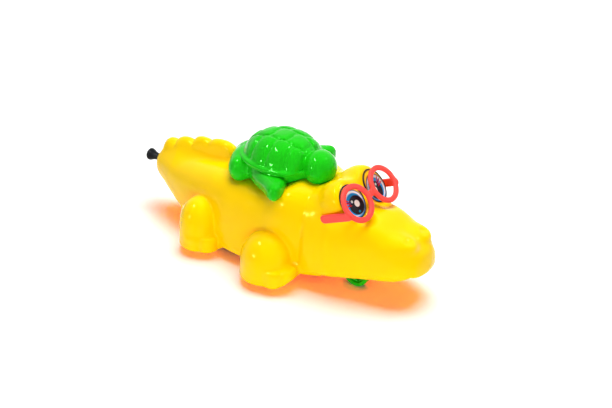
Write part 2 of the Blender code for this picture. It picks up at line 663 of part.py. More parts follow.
def flipper(side):
    """Front paddle, swept back under the shell's skirt."""
    outline = closed_curve(FLIPPER_OUTLINE, 18)
    middle = sum((Vector(point) for point in outline), Vector((0.0, 0.0))) / len(outline)
    rings = []
    for scale, z in FLIPPER_RINGS:
        spread = [middle + scale * (Vector(point) - middle) for point in outline]
        rings.append([(point.x, -side * point.y, z) for point in spread])
    return loft("flipper", rings)


def turtle(surface):
    """Hollow shell with skirt, head and limbs, trimmed to sit just clear of the back."""
    x, _, z = TURTLE_CENTRE
    solid = turtle_dome("turtle", 0.0, TURTLE_FOOT_Z, TURTLE_FRONT_X, 22, 14)
    share = math.sqrt(1.0 - ((TURTLE_FOOT_Z - z) / TURTLE_RADII[2]) ** 2)
    rings = []
    for offset, level in TURTLE_SKIRT:
        outline = ellipse([share * radius + offset for radius in TURTLE_RADII[:2]], 20)
        rings.append([(x + u, v, level) for u, v in outline])
    skirt = loft("skirt", rings)
    ahead = block("ahead", (TURTLE_FRONT_X + 0.2, -60, -10), (70, 60, 100))
    added = [combine(skirt, [ahead], "DIFFERENCE")]
    added.append(turtle_body("body", 0.0, TURTLE_BODY[0][3]))
    added.append(ellipsoid("head", *TURTLE_HEAD, segments=14, rings=9))
    added.append(ellipsoid("neck", *TURTLE_NECK, segments=10, rings=7))
    added.append(ellipsoid("rump", *TURTLE_RUMP, segments=14, rings=8))
    (leg_x, leg_y, leg_z), leg_radii = TURTLE_LEG
    for side in (-1, 1):
        added.append(flipper(side))
        added.append(ellipsoid("leg", (leg_x, -side * leg_y, leg_z), leg_radii, segments=10, rings=7))
    combine(solid, added, "UNION")
    cuts = [turtle_body("hollow", TURTLE_WALL, TURTLE_BODY[0][3] - 4.0)]
    cuts.append(turtle_dome("hollow", TURTLE_WALL + 0.6, TURTLE_FOOT_Z - 0.5, 9.0, 12, 8))
    combine(solid, cuts, "DIFFERENCE")
    for side in (-1, 1):
        px, py = TURTLE_SCREW
        post = cylinder("post", (px, side * py, POST_Z[0]), (px, side * py, POST_Z[1]), POST_RADIUS, 12)
        combine(solid, [post], "UNION")
        pilot_ends = ((px, side * py, 40.0), (px, side * py, 55.0))
        combine(solid, [cylinder("pilot", *pilot_ends, SCREW_RADIUS + 0.3, segments=8)], "DIFFERENCE")
    back = form("back", BODY_STATIONS, -TURTLE_CLEARANCE, BODY_RINGS, RING_POINTS)
    combine(solid, [back], "DIFFERENCE")
    return finish(solid, "turtle", surface)


def glasses(surface):
    """Two rings, bridge, side arms and pegs in one moulding. Its origin is on the peg axis."""
    half = RING_THICKNESS / 2
    inner = RING_RADIUS - RING_BAND
    edge = 0.55
    profile = [
        (inner, 0.0),
        (inner + edge, half),
        (RING_RADIUS - edge, half),
        (RING_RADIUS, 0.0),
        (RING_RADIUS - edge, -half),
        (inner + edge, -half),
    ]
    bridge_frame = tilted_frame((RING_CENTRE[0], 0.0, RING_CENTRE[2]), 1, RING_TILT, 0.0)
    bridge = block(
        "glasses",
        (-BRIDGE_HALF_WIDTH, -BRIDGE_HEIGHT / 2, 0.15 - half),
        (BRIDGE_HALF_WIDTH, BRIDGE_HEIGHT / 2, half - 0.15),
    )
    solid = placed(bridge, bridge_frame)
    added = []
    for side in (-1, 1):
        ring = turned("ring", profile, steps=24)
        upright = Matrix.Rotation(math.radians(90.0), 4, "X")
        added.append(placed(ring, tilted_frame(RING_CENTRE, side, RING_TILT, RING_TURN) @ upright))
        outline = hull(circle((PEG_X, PEG_Z), ARM_HALF_HEIGHT, 12) + circle(ARM_FRONT, ARM_HALF_HEIGHT, 12))
        near, far = ARM_Y - ARM_THICKNESS / 2, ARM_Y + ARM_THICKNESS / 2
        added.append(prism("arm", outline, *sorted((side * near, side * far))))
        peg = ((PEG_X, side * PEG_REACH, PEG_Z), (PEG_X, side * ARM_Y, PEG_Z))
        added.append(cylinder("peg", *peg, PEG_RADIUS, segments=14))
    combine(solid, added, "UNION")
    return finish(solid, "glasses", surface, (PEG_X, 0.0, PEG_Z))


def eye_foil(name, side, surface):
    plate = foil_plate(name, 0.0, FOIL_LIFT, FOIL_LIFT + FOIL_THICKNESS)
    return finish(placed(plate, eye_frame(side)), name, surface)


def pull_knob(surface):
    """Trumpet-shaped knob, wide end outwards, knotted on the cord."""
    back = KNOB_LENGTH
    profile = [
        (0.0, 0.0),
        (KNOB_NECK, 0.0),
        (KNOB_NECK + 0.2, 0.3 * back),
        (0.72 * KNOB_RADIUS, 0.55 * back),
        (0.96 * KNOB_RADIUS, 0.78 * back),
        (KNOB_RADIUS, 0.88 * back),
        (0.93 * KNOB_RADIUS, 0.97 * back),
        (0.7 * KNOB_RADIUS, back),
        (0.0, 0.96 * back),
    ]
    solid = turned("pull_knob", profile, steps=16)
    outwards = Matrix.Translation((KNOB_FRONT_X, 0.0, CORD_Z)) @ Matrix.Rotation(math.radians(90.0), 4, "Z")
    return finish(placed(solid, outwards), "pull_knob", surface, (KNOB_FRONT_X, 0.0, CORD_Z))


def cord(name, points, surface, origin):
    """One tube through the points, with closed ends."""
    curve = bpy.data.curves.new(name, "CURVE")
    curve.dimensions = "3D"
    curve.bevel_depth = CORD_RADIUS * MM
    curve.bevel_resolution = 1
    curve.use_fill_caps = True
    spline = curve.splines.new("POLY")
    spline.points.add(len(points) - 1)
    for slot, point in zip(spline.points, points):
        slot.co = (*((Vector(point) - Vector(origin)) * MM), 1.0)
    curve.materials.append(surface)
    obj = bpy.data.objects.new(name, curve)
    obj.location = Vector(origin) * MM
    bpy.context.scene.collection.objects.link(obj)
    return obj


def winding_points():
    """Helix on the drum that ends at its top, heading along the tail, with straight ends."""
    count = int(WIND_TURNS * WIND_POINTS)
    points = []
    for i in range(count + 1):
        left = (count - i) / WIND_POINTS
        angle = math.pi / 2 - 2 * math.pi * left
        across = -WIND_PITCH * left
        points.append(
            (DRUM_X + WIND_RADIUS * math.cos(angle), across, DRUM_Z + WIND_RADIUS * math.sin(angle))
        )
    straight = 2 * CORD_RADIUS
    first = Vector(points[0]) + (Vector(points[0]) - Vector(points[1])).normalized() * straight
    last = Vector(points[-1]) - Vector((straight, 0, 0))
    return [tuple(first)] + points + [tuple(last)]


def least_gap(points):
    """Least clear distance between stretches of the tube more than half a turn apart."""
    places = np.array(points)
    apart = np.linalg.norm(places[:, None] - places[None, :], axis=2)
    order = np.arange(len(places))
    far = np.abs(order[:, None] - order[None, :]) > WIND_POINTS // 2
    return float(apart[far].min() - 2 * CORD_RADIUS)


def gear_outline(teeth):
    """Involute gear outline round the origin, with thinned teeth for backlash."""
    pitch = MODULE * teeth / 2
    ground = pitch * math.cos(math.radians(PRESSURE_ANGLE))
    tip = pitch + 0.9 * MODULE
    root = pitch - 1.25 * MODULE

    def roll(radius):
        lean = math.sqrt(max((radius / ground) ** 2 - 1.0, 0.0))
        return lean - math.atan(lean)

    half = TOOTH_SHARE * math.pi / teeth
    flank = [(radius, half + roll(pitch) - roll(radius)) for radius in (root, pitch, tip)]
    points = []
    for tooth in range(teeth):
        middle = 2 * math.pi * tooth / teeth
        for radius, spread in flank:
            points.append((radius * math.cos(middle - spread), radius * math.sin(middle - spread)))
        for radius, spread in flank[::-1]:
            points.append((radius * math.cos(middle + spread), radius * math.sin(middle + spread)))
    return points


def rotated(outline, degrees):
    turn = math.radians(degrees)
    return [
        (x * math.cos(turn) - z * math.sin(turn), x * math.sin(turn) + z * math.cos(turn)) for x, z in outline
    ]


def idler_place():
    """Idler axis in XZ, from its centre distances to the pinion and to the drive gear."""
    pinion = Vector((REAR_AXLE_X, REAR_WHEEL_RADIUS))
    drum = Vector((DRUM_X, DRUM_Z))
    to_pinion = MODULE * (IDLER_TEETH + PINION_TEETH) / 2 + CENTRE_SLACK
    to_drum = MODULE * (IDLER_TEETH + DRIVE_TEETH) / 2 + CENTRE_SLACK
    span = (drum - pinion).length
    along = (to_pinion**2 - to_drum**2 + span**2) / (2 * span)
    up = math.sqrt(to_pinion**2 - along**2)
    ahead = (drum - pinion) / span
    return pinion + ahead * along + Vector((-ahead.y, ahead.x)) * up


def mesh_turns():
    """Turn of each gear at rest, in degrees, so that teeth meet gaps on both centre lines."""
    idler = idler_place()
    to_pinion = Vector((REAR_AXLE_X, REAR_WHEEL_RADIUS)) - idler
    to_drive = Vector((DRUM_X, DRUM_Z)) - idler
    pinion_way = math.degrees(math.atan2(to_pinion.y, to_pinion.x))
    drive_way = math.degrees(math.atan2(to_drive.y, to_drive.x))
    idler_turn = pinion_way
    pinion_turn = pinion_way + 180.0 + 180.0 / PINION_TEETH
    phase = (drive_way - idler_turn) * IDLER_TEETH / 360.0
    drive_turn = drive_way + 180.0 + (phase + 0.5) * 360.0 / DRIVE_TEETH
    return idler_turn, pinion_turn, drive_turn


def gear(name, teeth, turn, y_ends, bore, place, surface, pocket=None):
    """Spur gear on a shaft along Y."""
    solid = prism(name, rotated(gear_outline(teeth), turn), *y_ends)
    middle = (y_ends[0] - 5.0, y_ends[1] + 5.0)
    combine(solid, [cylinder("bore", (0, middle[0], 0), (0, middle[1], 0), bore, segments=18)], "DIFFERENCE")
    if pocket:
        combine(solid, [prism("pocket", pocket, y_ends[0] - 1.0, y_ends[0] + RATCHET_DEPTH)], "DIFFERENCE")
    x, z = place
    placed(solid, Matrix.Translation((x, 0.0, z)))
    return finish(solid, name, surface, (x, 0.0, z))


def ratchet_outline():
    """Saw-tooth ring that the drum's fingers catch in one direction."""
    step = 2 * math.pi / RATCHET_TEETH
    points = []
    for tooth in range(RATCHET_TEETH):
        middle = (RATCHET_TIP + RATCHET_ROOT) / 2
        for share, radius in ((0.0, RATCHET_TIP), (0.08, RATCHET_ROOT), (0.5, middle)):
            angle = (tooth + share) * step
            points.append((radius * math.cos(angle), radius * math.sin(angle)))
    return points


def cord_drum(surface):
    """Spool with a hub for the spring and two ratchet fingers on its left flange."""
    low, high = DRUM_CORE_Y
    bore = SHAFT_RADIUS + GAP
    profile = [
        (bore, low - DRUM_FLANGE_WIDTH),
        (DRUM_FLANGE, low - DRUM_FLANGE_WIDTH),
        (DRUM_FLANGE, low),
        (DRUM_CORE, low),
        (DRUM_CORE, high),
        (DRUM_FLANGE, high),
        (DRUM_FLANGE, high + DRUM_FLANGE_WIDTH),
        (HUB_RADIUS, high + DRUM_FLANGE_WIDTH),
        (HUB_RADIUS, HUB_END_Y),
        (bore, HUB_END_Y),
    ]
    solid = turned("cord_drum", profile, steps=22)
    for turn in (0.0, 180.0):
        tip = PAWL_REACH - PAWL_RADIUS
        finger = hull(circle((HUB_RADIUS - 0.3, 0.9), PAWL_RADIUS, 10) + circle((tip, 0.0), PAWL_RADIUS, 10))
        combine(solid, [prism("finger", rotated(finger, turn), high + 0.2, PAWL_END_Y)], "UNION")
    bored = cylinder("bore", (0, low - 3.0, 0), (0, HUB_END_Y + 3.0, 0), bore, segments=16)
    combine(solid, [bored], "DIFFERENCE")
    placed(solid, Matrix.Translation((DRUM_X, 0.0, DRUM_Z)))
    return finish(solid, "cord_drum", surface, (DRUM_X, 0.0, DRUM_Z))


def mainspring(surface):
    """Flat spiral strip between the drum's hub and the gearbox wall."""
    count = int(SPRING_TURNS * SPRING_STEPS)
    outer = []
    inner = []
    for i in range(count + 1):
        angle = 2 * math.pi * i / SPRING_STEPS
        radius = SPRING_INNER + (SPRING_OUTER - SPRING_INNER) * i / count
        for line, offset in ((outer, SPRING_STRIP / 2), (inner, -SPRING_STRIP / 2)):
            reach = radius + offset
            line.append((DRUM_X + reach * math.cos(angle), DRUM_Z + reach * math.sin(angle)))
    return finish(prism("mainspring", outer + inner[::-1], *SPRING_Y), "mainspring", surface)


def shaft(name, x, z, radius, y_low, y_high, surface):
    """Straight pin along Y with chamfered ends."""
    chamfer = 0.3
    profile = [
        (0.0, y_low),
        (radius - chamfer, y_low),
        (radius, y_low + chamfer),
        (radius, y_high - chamfer),
        (radius - chamfer, y_high),
        (0.0, y_high),
    ]
    solid = placed(turned(name, profile, steps=12), Matrix.Translation((x, 0.0, z)))
    return finish(solid, name, surface, (x, 0.0, z))


def gearbox_outline(grow):
    idler = idler_place()
    pinion = (REAR_AXLE_X, REAR_WHEEL_RADIUS, PINION_TEETH)
    points = []
    for x, z, teeth in ((DRUM_X, DRUM_Z, DRIVE_TEETH), (*idler, IDLER_TEETH), pinion):
        points += circle((x, z), MODULE * (teeth / 2 + 1) + BOX_GAP + grow, 18)
    return hull(points)


def gearbox_half(name, side, surface):
    """One cup of the gearbox, with ears for the screws and holes for the shafts."""
    ends = sorted((side * BOX_SPLIT, side * BOX_HALF_WIDTH))
    solid = prism(name, gearbox_outline(BOX_WALL), *ends)
    for x, z in EARS:
        combine(solid, [cylinder("ear", (x, ends[0], z), (x, ends[1], z), EAR_RADIUS, segments=10)], "UNION")
    room = sorted((-side * 2.0, side * (BOX_HALF_WIDTH - BOX_WALL)))
    idler_x, idler_z = idler_place()
    cuts = [prism("room", gearbox_outline(0.0), *room)]
    holes = [(x, z, SCREW_RADIUS + GAP) for x, z in EARS]
    holes.append((DRUM_X, DRUM_Z, SHAFT_RADIUS + GAP))
    holes.append((idler_x, idler_z, SHAFT_RADIUS + GAP))
    holes.append((REAR_AXLE_X, REAR_WHEEL_RADIUS, AXLE_RADIUS + GAP))
    for x, z, radius in holes:
        cuts.append(cylinder("hole", (x, -30.0, z), (x, 30.0, z), radius, segments=8))
    cuts.append(block("cord_slot", (-50.0, -2.0, CORD_Z - 1.8), (DRUM_X - 8.0, 2.0, CORD_Z + 1.8)))
    combine(solid, cuts, "DIFFERENCE")
    return finish(solid, name, surface)


def rear_wheel(name, side, surface):
    """Hub, web and rim of a driven wheel."""
    half = REAR_WHEEL_WIDTH / 2
    rim = REAR_WHEEL_RADIUS - TYRE_DEPTH - GAP
    bore = AXLE_RADIUS + 0.3
    right_side = [(bore, -half), (3.4, -half), (3.6, -1.0), (rim - 2.0, -0.8)]
    right_side += [(rim - 1.7, -half), (rim, -half)]
    profile = right_side + [(radius, -y) for radius, y in right_side[::-1]]
    place = Matrix.Translation((REAR_AXLE_X, side * REAR_WHEEL_Y, REAR_WHEEL_RADIUS))
    solid = placed(turned(name, profile, steps=20), place)
    return finish(solid, name, surface, (REAR_AXLE_X, 0.0, REAR_WHEEL_RADIUS))


def rear_tyre(name, side, surface):
    half = REAR_WHEEL_WIDTH / 2 - 0.1
    inner = REAR_WHEEL_RADIUS - TYRE_DEPTH
    tread = REAR_WHEEL_RADIUS
    right_side = [(inner, -half), (tread - 0.5, -half), (tread, 0.5 - half)]
    profile = right_side + [(radius, -y) for radius, y in right_side[::-1]]
    place = Matrix.Translation((REAR_AXLE_X, side * REAR_WHEEL_Y, REAR_WHEEL_RADIUS))
    solid = placed(turned(name, profile, steps=26), place)
    return finish(solid, name, surface, (REAR_AXLE_X, 0.0, REAR_WHEEL_RADIUS))


def front_wheel(name, side, surface):
    """Small one-piece wheel with round holes through its web."""
    half = FRONT_WHEEL_WIDTH / 2
    rim = FRONT_WHEEL_RADIUS
    bore = AXLE_RADIUS + 0.3
    right_side = [(bore, -half), (2.6, -half), (2.7, -0.8), (5.4, -0.8), (5.6, -half), (rim - 0.4, -half)]
    right_side.append((rim, 0.4 - half))
    profile = right_side + [(radius, -y) for radius, y in right_side[::-1]]
    solid = turned(name, profile, steps=16)
    for i in range(SPOKE_HOLES):
        turn = 2 * math.pi * i / SPOKE_HOLES
        x, z = 4.05 * math.cos(turn), 4.05 * math.sin(turn)
        combine(solid, [cylinder("hole", (x, -9, z), (x, 9, z), SPOKE_HOLE_RADIUS, segments=6)], "DIFFERENCE")
    placed(solid, Matrix.Translation((FRONT_AXLE_X, side * FRONT_WHEEL_Y, FRONT_WHEEL_RADIUS)))
    return finish(solid, name, surface, (FRONT_AXLE_X, 0.0, FRONT_WHEEL_RADIUS))


def screw(name, foot, direction, length, surface):
    """Pan-head screw. The foot is the outer face of its head and the shank runs along direction."""
    profile = [
        (0.0, 0.0),
        (SCREW_HEAD_RADIUS - 0.5, 0.0),
        (SCREW_HEAD_RADIUS, 0.5),
        (SCREW_HEAD_RADIUS, SCREW_HEAD),
        (SCREW_RADIUS, SCREW_HEAD),
        (SCREW_RADIUS, length - 1.0),
        (0.0, length),
    ]
    turn = Vector((0, 1, 0)).rotation_difference(Vector(direction)).to_matrix().to_4x4()
    solid = placed(turned(name, profile, steps=8), Matrix.Translation(foot) @ turn)
    return finish(solid, name, surface, foot)


def fasteners(surface):
    for i, (x, y) in enumerate(BODY_SCREWS):
        foot = (x, y, COUNTERBORE_Z - GAP - SCREW_HEAD)
        screw(f"body_screw_{i + 1}", foot, (0, 0, 1), BODY_SCREW_LENGTH, surface)
    for i, (x, z) in enumerate(EARS):
        foot = (x, BOX_HALF_WIDTH + GAP + SCREW_HEAD, z)
        screw(f"gearbox_screw_{i + 1}", foot, (0, -1, 0), GEARBOX_SCREW_LENGTH, surface)
    x, y = TURTLE_SCREW
    foot_z = station(BODY_STATIONS, x)[3] - WALL - GAP - SCREW_HEAD - 0.8
    for name, side in (("turtle_screw_left", 1), ("turtle_screw_right", -1)):
        screw(name, (x, side * y, foot_z), (0, 0, 1), TURTLE_SCREW_LENGTH, surface)


def build():
    clear_scene()
    yellow = material("yellow_plastic", YELLOW, 0.25)
    green = material("green_plastic", GREEN, 0.25)
    coral = material("coral_plastic", CORAL, 0.35)
    black = material("black_plastic", BLACK, 0.4)
    cream = material("cream_nylon", CREAM, 0.45)
    white = material("printed_foil", WHITE, 0.3)
    rubber = material("black_rubber", BLACK, 0.8)
    string = material("white_cord", WHITE, 0.85)
    steel = material("steel", STEEL, 0.35, 1.0)

    upper_shell(yellow)
    base(yellow)
    turtle(green)
    glasses(coral)
    for name, side in (("left", 1), ("right", -1)):
        eye_foil(f"eye_foil_{name}", side, white)
        gearbox_half(f"gearbox_{name}", side, cream)
        rear_wheel(f"rear_wheel_{name}", side, green)
        rear_tyre(f"rear_tyre_{name}", side, rubber)
        front_wheel(f"front_wheel_{name}", side, green)

    pull_knob(black)
    turns = winding_points()
    print(f"least gap of the winding to itself: {least_gap(turns):.2f} mm")
    cord("cord_winding", turns, string, (DRUM_X, 0.0, DRUM_Z))
    run_start = (turns[-1][0] - GAP, 0.0, CORD_Z)
    run_end = (KNOB_FRONT_X + GAP, 0.0, CORD_Z)
    cord("pull_cord", [run_start, run_end], string, run_end)

    idler_turn, pinion_turn, drive_turn = mesh_turns()
    cord_drum(cream)
    mainspring(steel)
    drum_axis = (DRUM_X, DRUM_Z)
    pocket = ratchet_outline()
    gear("drive_gear", DRIVE_TEETH, drive_turn, GEAR_Y, HUB_RADIUS + GAP, drum_axis, cream, pocket)
    gear("idler_gear", IDLER_TEETH, idler_turn, GEAR_Y, SHAFT_RADIUS + GAP, tuple(idler_place()), cream)
    rear_axle = (REAR_AXLE_X, REAR_WHEEL_RADIUS)
    gear("axle_pinion", PINION_TEETH, pinion_turn, PINION_Y, AXLE_RADIUS + 0.3, rear_axle, cream)
    shaft("drum_shaft", DRUM_X, DRUM_Z, SHAFT_RADIUS, -BOX_HALF_WIDTH, BOX_HALF_WIDTH, steel)
    shaft("idler_shaft", *idler_place(), SHAFT_RADIUS, -BOX_HALF_WIDTH, BOX_HALF_WIDTH, steel)
    rear_reach = REAR_WHEEL_Y + REAR_WHEEL_WIDTH / 2 + 0.2
    shaft("rear_axle", *rear_axle, AXLE_RADIUS, -rear_reach, rear_reach, steel)
    front_reach = FRONT_WHEEL_Y + FRONT_WHEEL_WIDTH / 2 + 0.2
    shaft("front_axle", FRONT_AXLE_X, FRONT_WHEEL_RADIUS, AXLE_RADIUS, -front_reach, front_reach, steel)
    fasteners(steel)


build()
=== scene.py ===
"""Looks of the pull-cord toy crocodile: moulded skins, printed eyes, twisted cord, light and camera.

Lengths are millimetres until a piece is finished, and metres after that. X points forward to the
snout, Y to the crocodile's left and Z up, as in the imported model.
"""

import math

import bmesh
import bpy
import numpy as np
from mathutils import Matrix, Vector


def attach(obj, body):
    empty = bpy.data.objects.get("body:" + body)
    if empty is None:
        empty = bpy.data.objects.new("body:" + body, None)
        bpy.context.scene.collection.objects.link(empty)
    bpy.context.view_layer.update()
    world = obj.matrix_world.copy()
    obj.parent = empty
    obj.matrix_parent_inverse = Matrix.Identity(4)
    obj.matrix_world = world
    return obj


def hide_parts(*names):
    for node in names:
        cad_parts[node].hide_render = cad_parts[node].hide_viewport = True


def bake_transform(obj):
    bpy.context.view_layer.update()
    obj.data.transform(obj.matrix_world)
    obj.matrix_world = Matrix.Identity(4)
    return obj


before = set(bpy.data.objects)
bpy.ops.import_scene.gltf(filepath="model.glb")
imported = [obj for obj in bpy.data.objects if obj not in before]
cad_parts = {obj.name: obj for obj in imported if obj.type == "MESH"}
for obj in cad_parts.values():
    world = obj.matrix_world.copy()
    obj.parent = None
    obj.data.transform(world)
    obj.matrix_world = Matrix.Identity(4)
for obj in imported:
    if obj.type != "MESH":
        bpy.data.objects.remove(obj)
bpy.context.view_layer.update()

MM = 0.001
MIDDLE = (0.0, 0.0, 0.0)
ASIDE = 60.0

# Gap between pieces, walls, gaps round a screw in its pilot hole and round an axle in a wheel
GAP, WALL, RIM_WALL, PILOT_GAP, BORE_GAP = 0.35, 2.0, 2.3, 0.3, 0.3

# Skins: limits for settling points, grid rows worked at once, relax rounds, then each grid's box and step
LEAST_RATIO, LEAST_SLOPE, LONGEST_MOVE, GRID_ROWS, RELAX_ROUNDS = 0.02, 0.2, 0.5, 8, 3
SHELL_BOX, SHELL_STEP = ((-86.0, -45.0, -1.0), (95.0, 45.0, 61.0)), 0.8
TURTLE_BOX, TURTLE_STEP = ((-33.0, -33.0, 34.0), (37.0, 33.0, 73.0)), 0.6
GLASSES_BOX, GLASSES_STEP = ((38.0, -24.0, 37.0), (66.0, 24.0, 62.0)), 0.4

# Lofts: rings and points in a ring
CAVITY_MESH, FINE_MESH, HOLLOW_MESH = (40, 48), (60, 96), (30, 48)

# Camera: heading and rise in degrees, distance, the point it looks at, focal length and width in pixels
CAMERA_TURN, CAMERA_RISE, CAMERA_REACH = 35.48, 30.89, 739.5
CAMERA_TARGET = (11.39, 6.91, 26.2)
FOCAL_PIXELS, PICTURE_WIDTH, SENSOR = 1400.0, 612.0, 36.0

# Outer form: x, half width, low z, widest z, top z, top power, low power, inward lean of the flank
BODY_STATIONS = (
    (-83.2, 4.2, 22.4, 27.2, 31.6, 2.2, 2.2, 0.00),
    (-80.0, 7.2, 19.2, 26.4, 33.4, 2.3, 2.2, 0.00),
    (-74.0, 10.0, 15.6, 25.0, 35.0, 2.5, 2.3, 0.00),
    (-62.0, 15.4, 11.0, 21.0, 37.0, 2.8, 2.6, 0.05),
    (-46.0, 21.4, 6.4, 16.0, 40.5, 3.6, 3.2, 0.10),
    (-28.0, 26.6, 4.2, 11.0, 43.2, 5.0, 4.0, 0.14),
    (-8.0, 29.2, 3.9, 9.4, 43.8, 6.0, 5.0, 0.15),
    (8.0, 28.9, 3.9, 9.4, 45.0, 6.0, 5.0, 0.13),
    (14.5, 28.2, 3.9, 9.5, 49.0, 5.6, 5.0, 0.08),
    (20.0, 27.2, 4.0, 9.8, 50.8, 5.0, 5.0, 0.05),
    (26.0, 25.6, 4.0, 10.3, 49.6, 4.5, 5.0, 0.05),
    (33.0, 22.8, 4.6, 11.5, 46.8, 4.0, 5.0, 0.07),
    (40.0, 19.5, 5.0, 12.0, 44.0, 4.0, 5.0, 0.10),
)
HEAD_STATIONS = (
    (29.6, 22.6, 7.0, 18.0, 43.6, 3.0, 3.0, 0.08),
    (31.2, 24.4, 5.6, 17.0, 45.8, 3.0, 3.4, 0.08),
    (35.0, 25.4, 5.0, 16.0, 47.2, 3.0, 4.0, 0.08),
    (43.0, 24.8, 5.5, 15.5, 47.6, 3.0, 4.0, 0.08),
    (52.0, 22.4, 6.8, 16.5, 44.2, 3.1, 4.0, 0.07),
    (60.0, 20.2, 8.0, 18.0, 43.0, 3.3, 3.8, 0.05),
    (67.0, 18.6, 9.0, 19.0, 41.6, 3.4, 3.6, 0.03),
    (75.0, 17.2, 10.0, 19.5, 38.0, 3.3, 3.2, 0.02),
    (82.0, 15.0, 11.2, 19.8, 34.6, 3.0, 2.8, 0.00),
    (87.4, 11.6, 13.3, 20.0, 31.0, 2.7, 2.5, 0.00),
    (90.6, 7.6, 15.8, 20.4, 27.6, 2.4, 2.3, 0.00),
    (92.0, 3.0, 18.2, 20.8, 24.0, 2.1, 2.1, 0.00),
)
RIM_Z = 4.2
SEAM_LINE = ((-95.0, RIM_Z), (10.0, RIM_Z), (26.0, RIM_Z), (29.0, 5.6), (32.0, 8.4), (44.0, 11.8))
SEAM_LINE += ((54.5, 14.5), (66.0, 17.5), (78.0, 19.5), (86.0, 19.0), (95.0, 17.5))
BELOW_Z, ABOVE_Z = -20.0, 90.0
BELLY_START, BELLY_END, BELLY_Z = -47.0, 38.0, (-5.0, 14.0)
FLOOR_Z = (4.3, 6.1)
JAW_INSET, JAW_TIP_INSET, JAW_WALL, JAW_HOLLOW_TIP_INSET = 0.8, 3.6, 1.8, 4.4

# Head: eye mounds, the faces cut into them for the foils, nostrils
EYE_CENTRE, EYE_RADII, EYE_REAR_REACH, EYE_RECESS = (46.5, 8.9, 46.3), (10.2, 10.6, 12.5), 14.4, 0.4
EYE_FACE_POINT, EYE_FACE_TILT, EYE_FACE_TURN = (51.5, 10.0, 50.07), 38.0, 6.0
FACE_MARGIN, FACE_REACH, FACE_DEPTH, FACE_EDGE = 1.02, 1.2, 3.0, 2.0
FACE_BEND = (-7.0, -1.0), (14.0, 1.0)
FOIL_WIDTH, FOIL_HEIGHT, FOIL_LIFT, FOIL_TOP, FOIL_DROP = 16.3, 18.5, 0.06, 0.48, 0.5
FOIL_CROWN, FOIL_ROUND = 0.25, 0.06
NOSTRIL_CENTRE, NOSTRIL_RADII = (81.0, 6.6, 33.0), (6.4, 5.2, 3.6)
DIMPLE_CENTRE, DIMPLE_RADII, DIMPLE_EDGE = (84.0, 6.9, 36.5), (1.8, 2.0, 0.8), 1.6
FILLETS = {"eye": 8.0, "nostril": 5.0, "neck": 9.0, "paw": 1.6}
BODY_ENDS, HEAD_ENDS = (4.0, 4.0), (5.0, 3.0)

# Tail crest: lobe peaks as (x, z)
CREST_LOBES = ((-73.3, 42.6), (-62.0, 46.4), (-50.2, 50.2), (-36.6, 52.4))
CREST_LOBE_REACH, CREST_LAST_REACH, CREST_LOBE_DEPTH, CREST_END_DEPTH = 7.0, 9.6, 3.7, 9.0
CREST_HALF_THICKNESS, CREST_FOOT_Z = 3.6, 29.0
CREST_ENDS = (-79.5, -27.0)
CREST_NOTCH, CREST_EDGE, CREST_END_EDGE = 0.9, 4.6, 5.0
CREST_HEIGHT, CREST_FLARE, CREST_TAPER = 18.0, 1.5, 0.6
CREST_FILLETS = (-82.0, -66.0, -44.0), (2.0, 9.0, 2.5)

# Right paws: dome centre and radii, foot centre, reach, power and top, headings of the toes
SOLE_Z = 0.6
FRONT_PAW = {
    "dome": ((12.6, -30.2, 12.6), (13.4, 13.3, 15.1)),
    "foot": ((17.6, -28.8), (14.2, 13.4), 2.5, 13.0),
    "toes": (-66.0, -20.0, 26.0),
}
REAR_PAW = {
    "dome": ((-34.7, -26.0, 16.3), (10.3, 11.0, 13.7)),
    "foot": ((-32.3, -25.3), (12.2, 12.0), 2.2, 12.0),
    "toes": (-92.0, -40.0, 12.0),
}
TOE_DEPTH, TOE_GROOVE, PAW_FLARE = 0.02, 0.7, 0.005
TOE_LINES, TOE_LINE_WIDTH, TOE_FADE_START, TOE_FADE = 4, 0.11, 0.45, 0.4
FOOT_EDGE, FOOT_FILLET, SOLE_EDGE = 2.4, 1.2, 0.6
PAW_WALL, PAW_CAVITY_LOW = 2.6, -0.7
PAW_CAVITY_RISES = (-1.3, -0.7, -0.45, -0.2, 0.0, 0.25, 0.5, 0.7, 0.82)

# Turtle: dome, skirt, body as x, half length, half width and z, then head, legs and flippers
TURTLE_CENTRE, TURTLE_RADII, TURTLE_POWER = (2.6, 0.0, 43.7), (23.9, 19.5, 25.3), 2.6
TURTLE_FRONT_X, TURTLE_FRONT_EDGE, TURTLE_FOOT_Z, TURTLE_FOOT_EDGE = 19.6, 4.0, 55.0, 0.8
SKIRT_REACH, SKIRT_Z, SKIRT_HALF, SKIRT_POWER = 0.9, 55.9, 1.2, 2.3
SKIRT_EDGE, SKIRT_FRONT_EDGE, SKIRT_FILLET = 1.3, 6.0, 0.9
SPINE_PLATES = (-0.84, -0.42, 0.0, 0.42, 0.84)
SIDE_PLATES = ((-0.62, 0.5), (-0.21, 0.56), (0.21, 0.56), (0.62, 0.5))
PLATE_RISE, PLATE_SLOPE, GROOVE_DEPTH, GROOVE_WIDTH = 0.4, 2.4, 0.6, 0.6
TURTLE_BODY = (
    (-1.0, 17.0, 15.0, 42.0),
    (0.0, 18.2, 16.2, 46.0),
    (2.0, 19.8, 17.6, 51.0),
    (2.8, 20.8, 18.2, 56.0),
)
TURTLE_BODY_Z, TURTLE_BODY_HALF = 49.0, 7.0
TURTLE_WALL, TURTLE_HOLLOW_Z, TURTLE_HOLLOW_END_X = 2.2, 38.0, 9.0
TURTLE_HEAD = ((25.2, 0.0, 55.9), (8.5, 9.2, 9.5))
TURTLE_NECK = ((15.0, 0.0, 56.0), (10.0, 7.0, 6.6))
TURTLE_RUMP = ((-14.3, 0.0, 48.0), (14.7, 14.0, 10.1))
TURTLE_LEGS = (((-16.0, -14.0, 48.6), (6.0, 5.6, 7.2)), ((-18.0, -8.0, 48.8), (7.0, 8.0, 8.2)))
